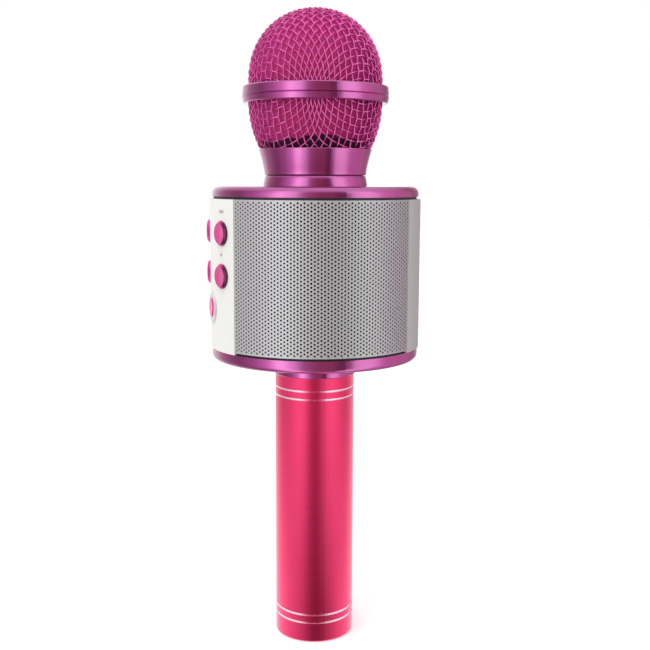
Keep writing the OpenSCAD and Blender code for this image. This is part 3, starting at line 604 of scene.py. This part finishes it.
def wire_paths(net, surface, z_keep):
    """Centre lines of every wire, woven over and under, as lists of (point, normal)."""
    reach = max(max(abs(i), abs(j)) for i, j in net)
    turn = np.array([[math.cos(WEAVE_ANGLE), -math.sin(WEAVE_ANGLE), 0],
                     [math.sin(WEAVE_ANGLE), math.cos(WEAVE_ANGLE), 0], [0, 0, 1]])
    normals = {key: surface.normal(point) for key, point in net.items()}
    paths = []
    for family in (0, 1):
        for fixed in range(-reach, reach + 1):
            run = []
            for moving in range(-reach, reach + 1):
                key = (moving, fixed) if family == 0 else (fixed, moving)
                nearer = (moving + 1, fixed) if family == 0 else (fixed, moving + 1)
                if key not in net or nearer not in net:
                    paths.append(run)
                    run = []
                    continue
                over = 1 if (moving + fixed + family) % 2 else -1
                for k in range(SAMPLES_PER_CELL):
                    t = k / SAMPLES_PER_CELL
                    normal = normals[key] * (1 - t) + normals[nearer] * t
                    normal /= np.linalg.norm(normal)
                    lift = over * WEAVE_LIFT * math.cos(math.pi * t)
                    point = net[key] * (1 - t) + net[nearer] * t + normal * lift
                    if z_keep(point[2]):
                        run.append((turn @ point, turn @ normal))
                    elif run:
                        paths.append(run)
                        run = []
            paths.append(run)
    return [path for path in paths if len(path) > 2]


def tubes(paths, radius, sides):
    """Closed round tubes along the paths."""
    verts, faces = [], []
    ring = [(math.cos(2 * math.pi * k / sides), math.sin(2 * math.pi * k / sides)) for k in range(sides)]
    for path in paths:
        points = np.array([p for p, _ in path])
        tangents = np.gradient(points, axis=0)
        first = len(verts)
        for (point, normal), tangent in zip(path, tangents):
            tangent = tangent / np.linalg.norm(tangent)
            side = np.cross(tangent, normal)
            side /= np.linalg.norm(side)
            up = np.cross(side, tangent)
            verts.extend(point + radius * (c * up + s * side) for c, s in ring)
        for i in range(len(path) - 1):
            a = first + i * sides
            for k in range(sides):
                m = (k + 1) % sides
                faces.append((a + k, a + m, a + sides + m, a + sides + k))
        faces.append(tuple(range(first + sides - 1, first - 1, -1)))
        last = len(verts) - sides
        faces.append(tuple(range(last, last + sides)))
    return verts, faces


def woven_piece(name, node, outline, outward, z_keep):
    """Wire cloth over the outline's surface that stands for a CAD node, where z_keep(z) holds."""
    surface = RoundSurface(outline, outward)
    net = draped_net(surface, MESH_PITCH)
    verts, faces = tubes(wire_paths(net, surface, z_keep), WIRE_D / 2, WIRE_SIDES)
    add_piece(name, verts, faces, "head", MATERIALS["pink_wire"], (node,))


def outer_outline(node, heights):
    return [(float(radii_at(node, z).max()), float(z)) for z in heights]


def inset(outline, depth):
    """The outline moved inwards along its own normals."""
    points = np.array(outline)
    slope = np.gradient(points, axis=0)
    slope /= np.linalg.norm(slope, axis=1)[:, None]
    return np.stack([points[:, 0] - slope[:, 1] * depth, points[:, 1] + slope[:, 0] * depth], 1)


# Each cloth is laid out past its edge by the overrun and then cut off inside the ring or collar.
ring_mid_z = sum(node_heights("head_ring")) / 2
half_gap_in_ring = 0.8 * MM
hidden_in_collar = 1.2 * MM
overrun = 6 * MESH_PITCH

# The dome's cloth runs from its top down into the ring.
dome_low, dome_top = node_heights("dome_mesh")
dome_outline = outer_outline("dome_mesh", heights_towards_top(dome_low, dome_top, 120))
dome_outline.append((0.0, dome_top))
dome_centre = [(max(r, 0.0), z) for r, z in inset(dome_outline, WIRE_D)[::-1]]
dome_centre[0] = (0.0, dome_top - WIRE_D)
dome_centre.append((dome_centre[-1][0], dome_centre[-1][1] - overrun))
woven_piece("dome_wire", "dome_mesh", dome_centre, 1, lambda z: z > ring_mid_z + half_gap_in_ring)

# The basket's cloth was a flat-bottomed bowl whose floor is cut away inside the collar.
collar_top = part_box("head_collar")[1].z
basket_low, basket_top = node_heights("lower_mesh")
basket = inset(outer_outline("lower_mesh", np.linspace(basket_low, basket_top, 42)[1:-1]), WIRE_D)
foot_r, foot_z = basket[0]
corner_r = 2 * MM
bend = [math.radians(a) for a in range(-90, -5, 12)]
bowl = [(0.0, foot_z - corner_r)]
bowl += [(foot_r - corner_r + corner_r * math.cos(a), foot_z + corner_r * math.sin(a)) for a in bend]
bowl += [(r, z) for r, z in basket]
bowl.append((basket[-1][0], basket[-1][1] + overrun))
woven_piece("basket_wire", "lower_mesh", bowl, -1,
            lambda z: collar_top - hidden_in_collar < z < ring_mid_z - half_gap_in_ring)


# ---------- Foam windscreen ----------

FOAM_TURNS = 200
# Lumps and pores: noise cells in a metre, and how far they move the skin
LUMP_SCALE, LUMP_DEPTH = 260, 0.10 * MM
PORE_SCALE, PORE_DEPTH = 1100, 0.12 * MM


def foam_cup():
    """The foam cup, with a softly uneven, pored skin."""
    low, high = node_heights("foam_windscreen")
    least_wall, calm_r, least_r = 2 * MM, 6 * MM, 0.2 * MM
    outer, inner = [], []
    for z in heights_towards_top(low, high, 110):
        radii = radii_at("foam_windscreen", z)
        outer.append((float(radii.max()), float(z)))
        if radii.max() - radii.min() > least_wall:
            inner.append((float(radii.min()), float(z)))
    wall = outer[0][0] - inner[0][0]
    profile = outer + [(0.0, high), (0.0, high - wall)] + inner[::-1]

    def pored(r, z, theta):
        """The ring's radii with lumps and pores, which fade out towards the axis."""
        points = [Vector((r * math.cos(t), r * math.sin(t), z)) for t in theta]
        lumps = np.array([noise.noise(p * LUMP_SCALE) * LUMP_DEPTH
                          + noise.noise(p * PORE_SCALE) * PORE_DEPTH for p in points])
        return np.maximum(r + lumps * min(1.0, r / calm_r), least_r)

    verts, faces = lathe(profile, FOAM_TURNS, pored)
    add_piece("foam_cup", verts, faces, "head", MATERIALS["windscreen_foam"],
              ("foam_windscreen",))


foam_cup()


# ---------- Perforated grilles ----------

HOLE_PITCH = 1.39 * MM
HOLE_R = 0.40 * MM
COLUMN = HOLE_PITCH * math.sqrt(3) / 2
QUARTER = HOLE_PITCH / 4
SIDE_BORDER = 0.5 * MM
END_BORDER = 0.28 * MM


class PerforatedSheet:
    """Points and faces of a sheet of staggered round holes that fills the place of a CAD sheet.

    A place on it is (u, v): the way round its outer skin, and the height above its foot.
    """

    def __init__(self, node, side):
        self.skins, (self.first_angle, last_angle), (self.foot, top) = sheet_extent(node, side)
        self.side = side
        self.width = self.skins[0] * (last_angle - self.first_angle)
        self.height = top - self.foot
        self.columns = int((self.width - 2 * SIDE_BORDER) / COLUMN)
        self.rows = int((self.height - 2 * END_BORDER) / HOLE_PITCH - 0.5)
        self.u0 = (self.width - self.columns * COLUMN) / 2
        self.v0 = (self.height - (self.rows + 0.5) * HOLE_PITCH) / 2
        self.index, self.points, self.faces = {}, [], []

    def vertex(self, u, v, skin):
        """The number of the point at (u, v) on a skin, 0 for the outer and 1 for the inner."""
        key = (round(u * 1e8), round(v * 1e8), skin)
        if key not in self.index:
            self.index[key] = len(self.points)
            radius, angle = self.skins[skin], self.first_angle + u / self.skins[0]
            x, y = self.side * radius * math.cos(angle), radius * math.sin(angle)
            self.points.append((x, y, self.foot + v))
        return self.index[key]

    def both_skins(self, loop):
        front = [self.vertex(u, v, 0) for u, v in loop]
        back = [self.vertex(u, v, 1) for u, v in loop]
        self.faces += [front, back[::-1]]

    def wall(self, a, b):
        """A face through the sheet's thickness."""
        self.faces.append([self.vertex(*a, 0), self.vertex(*b, 0), self.vertex(*b, 1),
                           self.vertex(*a, 1)])

    def cells_foot(self, c):
        """Foot of a column's cells; every second column stands half a pitch higher."""
        return self.v0 + (HOLE_PITCH / 2 if c % 2 else 0.0)

    def cell(self, left, low):
        """A hole's cell: twelve faces between its rim, anticlockwise from a corner, and the hole."""
        u_mid, v_mid = left + COLUMN / 2, low + HOLE_PITCH / 2
        rim = [(left, low), (u_mid, low)]
        rim += [(left + COLUMN, low + k * QUARTER) for k in range(5)]
        rim += [(u_mid, low + HOLE_PITCH)]
        rim += [(left, low + k * QUARTER) for k in range(4, 0, -1)]
        turns = [math.atan2(v - v_mid, u - u_mid) for u, v in rim]
        hole = [(u_mid + HOLE_R * math.cos(t), v_mid + HOLE_R * math.sin(t)) for t in turns]
        for k, (a, hole_a) in enumerate(zip(rim, hole)):
            m = (k + 1) % len(rim)
            self.both_skins([a, rim[m], hole[m], hole_a])
            self.wall(hole_a, hole[m])

    def column_ends(self, c):
        """The strips below and above a column's cells, which meet the next columns' corners."""
        left, middle, right = (self.u0 + (c + part) * COLUMN for part in (0, 0.5, 1))
        low = self.cells_foot(c)
        high = low + self.rows * HOLE_PITCH
        to_foot = round((low - self.v0) / QUARTER)
        to_top = round((self.height - self.v0 - high) / QUARTER)
        below = [low - k * QUARTER for k in range(to_foot + 1)]
        above = [high + k * QUARTER for k in range(to_top + 1)]
        self.both_skins([(left, 0.0), (right, 0.0)] + [(right, v) for v in below[::-1]]
                        + [(middle, low)] + [(left, v) for v in below])
        self.both_skins([(left, v) for v in above[::-1]] + [(middle, high)]
                        + [(right, v) for v in above] + [(right, self.height), (left, self.height)])

    def border(self):
        """The plain strips at both sides, and the sheet's outer edge."""
        end = self.u0 + self.columns * COLUMN
        climb = [self.v0 + k * QUARTER for k in range(4 * self.rows + 3)]
        self.both_skins([(0.0, 0.0), (self.u0, 0.0)] + [(self.u0, v) for v in climb]
                        + [(self.u0, self.height), (0.0, self.height)])
        self.both_skins([(end, 0.0), (self.width, 0.0), (self.width, self.height), (end, self.height)]
                        + [(end, v) for v in climb[::-1]])
        feet = [0.0] + [self.u0 + c * COLUMN for c in range(self.columns + 1)] + [self.width]
        edge = [(u, 0.0) for u in feet] + [(u, self.height) for u in feet[::-1]]
        for a, b in zip(edge, edge[1:] + edge[:1]):
            self.wall(b, a)


def grille_sheet(name, node, side):
    """The perforated sheet of the right side, 1, or of the left side, -1."""
    sheet = PerforatedSheet(node, side)
    for c in range(sheet.columns):
        for n in range(sheet.rows):
            sheet.cell(sheet.u0 + c * COLUMN, sheet.cells_foot(c) + n * HOLE_PITCH)
    for c in range(sheet.columns):
        sheet.column_ends(c)
    sheet.border()
    faces = sheet.faces if side > 0 else [face[::-1] for face in sheet.faces]
    piece = add_piece(name, sheet.points, faces, "housing", MATERIALS["silver_sheet"],
                      (node,))
    piece.data.set_sharp_from_angle(angle=math.radians(30))


grille_sheet("perforated_right", "grille_right", 1)
grille_sheet("perforated_left", "grille_left", -1)


# ---------- Acoustic cloth ----------

CLOTH_STEP = 1.2 * MM
CLOTH_RIPPLE = 0.08 * MM


def acoustic_cloth():
    """Two gently rippled sheets of cloth, in the place of the CAD cloth."""
    (r_out, r_in), (first_angle, last_angle), (foot, top) = sheet_extent("speaker_cloth", 1)
    across = int(r_out * (last_angle - first_angle) / CLOTH_STEP)
    up = int((top - foot) / CLOTH_STEP)
    row = across + 1
    verts, faces = [], []
    for side in (1, -1):
        first = len(verts)
        back = first + row * (up + 1)
        for skin in (r_out, r_in):
            for j in range(up + 1):
                for i in range(row):
                    angle = first_angle + (last_angle - first_angle) * i / across
                    z = foot + (top - foot) * j / up
                    swell = 0.5 + 0.5 * noise.noise(Vector((angle * 9, z * 260, side)))
                    r = skin - CLOTH_RIPPLE * swell if skin == r_out else skin
                    verts.append((side * r * math.cos(angle), r * math.sin(angle), z))
        sheet = []
        for j in range(up):
            for i in range(across):
                a = j * row + i
                quad = (a, a + 1, a + row + 1, a + row)
                sheet.append(tuple(first + k for k in quad))
                sheet.append(tuple(back + k for k in quad[::-1]))
        border = list(range(row)) + [j * row + across for j in range(1, up + 1)]
        border += [up * row + i for i in range(across - 1, -1, -1)]
        border += [j * row for j in range(up - 1, 0, -1)]
        for a, b in zip(border, border[1:] + border[:1]):
            sheet.append((first + b, first + a, back + a, back + b))
        faces += sheet if side > 0 else [face[::-1] for face in sheet]
    add_piece("acoustic_cloth", verts, faces, "housing", MATERIALS["speaker_cloth"],
              ("speaker_cloth",))


acoustic_cloth()


# ---------- Printed marks above the buttons ----------

MARK_LIFT = 0.03 * MM
MARK_RISE = 7.9 * MM


def bar(x, y, width, height):
    return [(x - width / 2, y - height / 2), (x + width / 2, y - height / 2),
            (x + width / 2, y + height / 2), (x - width / 2, y + height / 2)]


# Signs of one or more shapes, in millimetres round their middle
TRIANGLE = [(-1.0, -0.8), (0.4, 0.0), (-1.0, 0.8)]
SKIP = [TRIANGLE, [(x + 1.4, y) for x, y in TRIANGLE], bar(1.95, 0, 0.3, 1.6)]
SKIP_BACK = [[(-x, y) for x, y in shape[::-1]] for shape in SKIP]
MINUS = [bar(0, 0, 2.0, 0.4)]
PLUS = MINUS + [bar(0, 0.6, 0.4, 0.8), bar(0, -0.6, 0.4, 0.8)]


def printed_mark(name, button, shapes):
    """A sign of ink above a button, laid on the front panel and half sunk into it."""
    low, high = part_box(button)
    middle = (low + high) / 2
    panel_r = -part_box("front_panel")[0].y
    heading = math.atan2(middle.y, middle.x)
    z_mark = middle.z + MARK_RISE
    verts, faces = [], []
    for shape in shapes:
        count = len(shape)
        first = len(verts)
        for lift in (MARK_LIFT, -MARK_LIFT):
            for x, y in shape:
                angle = heading + x * MM / panel_r
                r = panel_r + lift
                verts.append((r * math.cos(angle), r * math.sin(angle), z_mark + y * MM))
        faces.append(tuple(range(first, first + count)))
        faces.append(tuple(range(first + 2 * count - 1, first + count - 1, -1)))
        for k in range(count):
            m = (k + 1) % count
            faces.append((first + m, first + k, first + count + k, first + count + m))
    piece = add_piece(name, verts, faces, "housing", MARK_INK)
    piece.data.polygons.foreach_set("use_smooth", [False] * len(piece.data.polygons))


printed_mark("mark_upper_right", "button_upper_right", SKIP)
printed_mark("mark_upper_left", "button_upper_left", SKIP_BACK)
printed_mark("mark_lower_right", "button_lower_right", PLUS)
printed_mark("mark_lower_left", "button_lower_left", MINUS)


# ---------- Threaded neck ----------

THREAD_PITCH = 1.5 * MM
THREAD_DEPTH = 0.5 * MM
THREAD_ROW = 0.15 * MM
THREAD_TURNS = 256
# Lengths over which the thread fades at its top and at its foot
RUN_IN, RUN_OUT = 0.4 * MM, 0.8 * MM
# Height of the spigot's rim, where its outer radius is read
RIM_H = 2 * MM


def threaded_neck():
    """The neck ring with a helical thread cut into its upper spigot."""
    loop = cad_profile("neck_ring")
    spigot_top = max(z for _, z in loop)
    spigot_r = max(r for r, z in loop if z > spigot_top - RIM_H)

    def on_spigot(r):
        return abs(r - spigot_r) < SAME_RADIUS

    foot = min(z for r, z in loop if on_spigot(r))
    dense = []
    for (r, z), (next_r, next_z) in zip(loop, loop[1:] + loop[:1]):
        wall = on_spigot(r) and on_spigot(next_r)
        parts = max(1, int(abs(next_z - z) / THREAD_ROW)) if wall else 1
        dense += [(r, z + (next_z - z) * k / parts) for k in range(parts)]

    def thread(r, z, theta):
        """The ring's radii with a V-shaped cut that climbs a pitch a turn and fades at both ends."""
        if not on_spigot(r):
            return np.full(len(theta), r)
        phase = (z / THREAD_PITCH - theta / (2 * math.pi)) % 1.0
        cut = np.clip(1.6 * (1 - 2 * np.abs(phase - 0.5)) - 0.4, 0, 1)
        fade = np.clip((z - foot) / RUN_OUT, 0, 1) * np.clip((spigot_top - z) / RUN_IN, 0, 1)
        return r - THREAD_DEPTH * cut * fade

    verts, faces = lathe(dense, THREAD_TURNS, thread)
    piece = add_piece("threaded_neck", verts, faces, "housing", MATERIALS["magenta_metal"],
                      ("neck_ring",))
    piece.data.set_sharp_from_angle(angle=math.radians(35))


threaded_neck()


# ---------- Stage ----------

# The camera at the photograph's viewing angle: its distance, height and shift are in metres from
# the handle's axis and foot.
VIEW_AZIMUTH = math.radians(73.5)
VIEW_PITCH = math.radians(8.2)
VIEW_DISTANCE = 0.3887
VIEW_HEIGHT = 0.17996
VIEW_SHIFT = 0.00397
VIEW_ROLL = math.radians(0.22)
LENS_MM = 55.66
SENSOR_MM = 36.0
towards = Vector((math.sin(VIEW_AZIMUTH), -math.cos(VIEW_AZIMUTH), 0))
rightwards = Vector((math.cos(VIEW_AZIMUTH), math.sin(VIEW_AZIMUTH), 0))


def add_camera():
    data = bpy.data.cameras.new("camera")
    data.lens = LENS_MM
    data.sensor_width = SENSOR_MM
    data.clip_start = 10 * MM
    camera = bpy.data.objects.new("camera", data)
    camera.location = towards * VIEW_DISTANCE + rightwards * VIEW_SHIFT + Vector((0, 0, VIEW_HEIGHT))
    turn = Matrix.Rotation(VIEW_AZIMUTH, 3, "Z") @ Matrix.Rotation(math.pi / 2 - VIEW_PITCH, 3, "X")
    camera.rotation_euler = (turn @ Matrix.Rotation(VIEW_ROLL, 3, "Z")).to_euler()
    bpy.context.scene.collection.objects.link(camera)
    bpy.context.scene.camera = camera


# Light of the studio, as (degrees to the camera's right, grey or colour): the walls, the floor as
# lacquered parts mirror it, and the floor as the top and the foot of the handle mirror it. SOFT_FILL
# is the light that falls on everything from the floor and the walls alike.
WALLS = [(-180, 1.5), (-160, 1.0), (-140, (0.85, 0.75, 0.75)), (-118, (0.5, 0.38, 0.4)),
         (-92, (0.32, 0.2, 0.25)), (-72, (0.7, 0.4, 0.6)), (-57, (1.15, 0.8, 1.1)), (-38, 2.5),
         (-24, (1.9, 1.9, 2.0)), (-9, (0.58, 0.3, 0.42)), (6, (0.41, 0.14, 0.17)),
         (20, (0.41, 0.14, 0.17)), (28, (0.13, 0.03, 0.06)), (36, (0.15, 0.05, 0.08)), (43, 1.8),
         (62, 2.0), (84, (1.2, 0.75, 1.0)), (112, (0.85, 0.45, 0.65)), (145, (0.4, 0.18, 0.28)),
         (164, (0.45, 0.3, 0.36)), (180, 1.5)]
LACQUER_FLOOR = [(-180, 0.8), (-140, (0.9, 0.8, 0.8)), (-118, (0.55, 0.42, 0.44)),
                 (-92, (0.32, 0.2, 0.25)), (-72, (0.6, 0.35, 0.5)), (-55, (1.1, 0.75, 1.05)),
                 (-37, 2.7), (-24, (1.6, 1.6, 1.7)), (-10, (0.6, 0.35, 0.45)),
                 (6, (0.46, 0.2, 0.24)), (20, (0.46, 0.2, 0.24)), (30, (0.13, 0.04, 0.07)),
                 (38, (0.16, 0.06, 0.1)), (47, 1.8), (64, (1.9, 1.8, 1.85)),
                 (86, (1.0, 0.6, 0.85)), (112, (0.85, 0.45, 0.65)), (145, (0.45, 0.22, 0.32)),
                 (180, 0.8)]
HANDLE_TOP_FLOOR = [(-180, 1.3), (-140, 1.0), (-105, (0.7, 0.62, 0.62)), (-75, (0.85, 0.8, 0.8)),
                    (-50, 1.15), (-28, 1.05), (-14, (0.48, 0.26, 0.32)), (0, (0.35, 0.12, 0.2)),
                    (12, (0.37, 0.15, 0.24)), (28, 1.05), (50, 1.25), (76, (0.95, 0.85, 0.9)),
                    (100, (0.68, 0.6, 0.62)), (140, 1.0), (180, 1.3)]
HANDLE_FOOT_FLOOR = [(-180, 1.6), (-130, 1.5), (-100, 1.25), (-75, 0.95), (-50, (0.75, 0.7, 0.7)),
                     (-30, (0.5, 0.4, 0.42)), (-16, (0.3, 0.16, 0.2)), (0, (0.14, 0.05, 0.085)),
                     (14, (0.18, 0.07, 0.12)), (32, (0.36, 0.27, 0.31)), (52, (0.62, 0.53, 0.54)),
                     (78, 1.0), (105, 1.2), (135, 1.4), (180, 1.6)]
SOFT_FILL = [(-180, 0.75), (-130, 1.2), (-80, 1.15), (-30, 0.82), (20, 0.7), (60, 0.32), (90, 0.14),
             (130, 0.16), (180, 0.65)]
FLOOR_HALF = 3.0
# Heights between which the handle's foot gradient gives way to its top's, and half the height over
# which that gives way to the lacquer's
HANDLE_FOOT_END, HANDLE_TOP_START = 15 * MM, 95 * MM
FLOOR_SWITCH = 0.2 * MM
# Upward slope of a direction where the ceiling begins, and where it's all ceiling
CEILING_EDGE, CEILING_FULL = 0.45, 0.85
AIM_HEIGHT = 130 * MM


class StudioTree(ShaderTree):
    """A studio shader, which looks up light by a ray's bearing."""

    def __init__(self, owner):
        super().__init__(owner)
        self.tree.nodes.clear()

    def bearing(self, direction):
        """The ray's bearing from the camera's side, from 0 to 1 over a whole turn."""
        right = self.vector_math("DOT_PRODUCT", direction, rightwards)["Value"]
        front = self.vector_math("DOT_PRODUCT", direction, towards)["Value"]
        return self.map_range(self.math("ARCTAN2", right, front), -math.pi, math.pi)

    def panorama(self, place, stops):
        """Light along a whole turn, from (bearing in degrees, grey or colour) stops."""
        made = self.node("ShaderNodeValToRGB", {0: place})
        elements = made.color_ramp.elements
        made.color_ramp.interpolation = "EASE"
        while len(elements) < len(stops):
            elements.new(0.5)
        for element, (degrees, value) in zip(elements, stops):
            shade = value if isinstance(value, tuple) else (value,) * 3
            element.position = degrees / 360 + 0.5
            element.color = (*shade, 1)
        return made.outputs[0]


def add_floor():
    """A plain pale floor. Lacquer and handle mirror it as soft studio gradients.

    Which gradient a reflection shows depends on the height of the point that mirrors the floor.
    """
    corners = [(-1, -1), (1, -1), (1, 1), (-1, 1)]
    mesh = bpy.data.meshes.new("floor")
    mesh.from_pydata([(x * FLOOR_HALF, y * FLOOR_HALF, 0) for x, y in corners], [], [(0, 1, 2, 3)])
    material = bpy.data.materials.new("floor_paint")
    s = StudioTree(material)
    back = s.node("ShaderNodeNewGeometry").outputs["Incoming"]
    path = s.node("ShaderNodeLightPath").outputs
    onward = s.node("ShaderNodeVectorMath", {0: back, "Scale": -1.0}, operation="SCALE").outputs[0]
    place = s.bearing(onward)
    height = s.math("MULTIPLY", s.axes(back)["Z"], path["Ray Length"])
    handle = s.mix(s.map_range(height, HANDLE_FOOT_END, HANDLE_TOP_START),
                   s.panorama(place, HANDLE_FOOT_FLOOR), s.panorama(place, HANDLE_TOP_FLOOR))
    hub_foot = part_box("bottom_plate")[0].z
    mirrored = s.mix(s.map_range(height, hub_foot - FLOOR_SWITCH, hub_foot + FLOOR_SWITCH), handle,
                     s.panorama(place, LACQUER_FLOOR))
    unseen = s.mix(path["Is Glossy Ray"], s.panorama(place, SOFT_FILL), mirrored)
    glow = s.node("ShaderNodeEmission", {"Color": unseen})
    paint = s.node("ShaderNodeBsdfDiffuse", {"Color": (0.9, 0.9, 0.9, 1)})
    lift = s.node("ShaderNodeEmission", {"Strength": 0.35})
    shown = s.node("ShaderNodeAddShader", {0: paint.outputs[0], 1: lift.outputs[0]})
    final = s.node("ShaderNodeMixShader", {0: path["Is Camera Ray"], 1: glow.outputs[0],
                                           2: shown.outputs[0]})
    s.node("ShaderNodeOutputMaterial", {0: final.outputs[0]})
    mesh.materials.append(material)
    floor = bpy.data.objects.new("floor", mesh)
    bpy.context.scene.collection.objects.link(floor)


def add_studio():
    """Soft boxes and dark gaps round the microphone, painted on the world."""
    world = bpy.data.worlds.new("studio")
    bpy.context.scene.world = world
    s = StudioTree(world)
    direction = s.node("ShaderNodeTexCoord").outputs["Generated"]
    place = s.bearing(direction)
    path = s.node("ShaderNodeLightPath").outputs
    ceiling = s.map_range(s.axes(direction)["Z"], CEILING_EDGE, CEILING_FULL)
    mirrored = s.mix(ceiling, s.panorama(place, WALLS), (1.1, 1.1, 1.1))
    soft = s.mix(ceiling, s.panorama(place, SOFT_FILL), (1.0, 1.0, 1.0))
    light = s.mix(path["Is Glossy Ray"], soft, mirrored)
    shown = s.mix(path["Is Camera Ray"], light, (1.0, 1.0, 1.0))
    background = s.node("ShaderNodeBackground", {"Color": shown})
    s.node("ShaderNodeOutputWorld", {0: background.outputs[0]})


def add_softbox(name, bearing, distance, height, width, tall, power):
    """A rectangular lamp aimed at the microphone's middle."""
    data = bpy.data.lights.new(name, "AREA")
    data.shape = "RECTANGLE"
    data.size, data.size_y, data.energy = width, tall, power
    lamp = bpy.data.objects.new(name, data)
    angle = math.radians(bearing)
    lamp.location = (towards * math.cos(angle) + rightwards * math.sin(angle)) * distance
    lamp.location.z = height
    aim = Vector((0, 0, AIM_HEIGHT)) - lamp.location
    lamp.rotation_euler = aim.to_track_quat("-Z", "Y").to_euler()
    lamp.visible_glossy = False
    bpy.context.scene.collection.objects.link(lamp)


add_camera()
add_floor()
add_studio()
add_softbox("overhead", bearing=-30, distance=0.35, height=0.9, width=0.5, tall=0.5, power=3.0)
bpy.context.scene.view_settings.view_transform = "Standard"
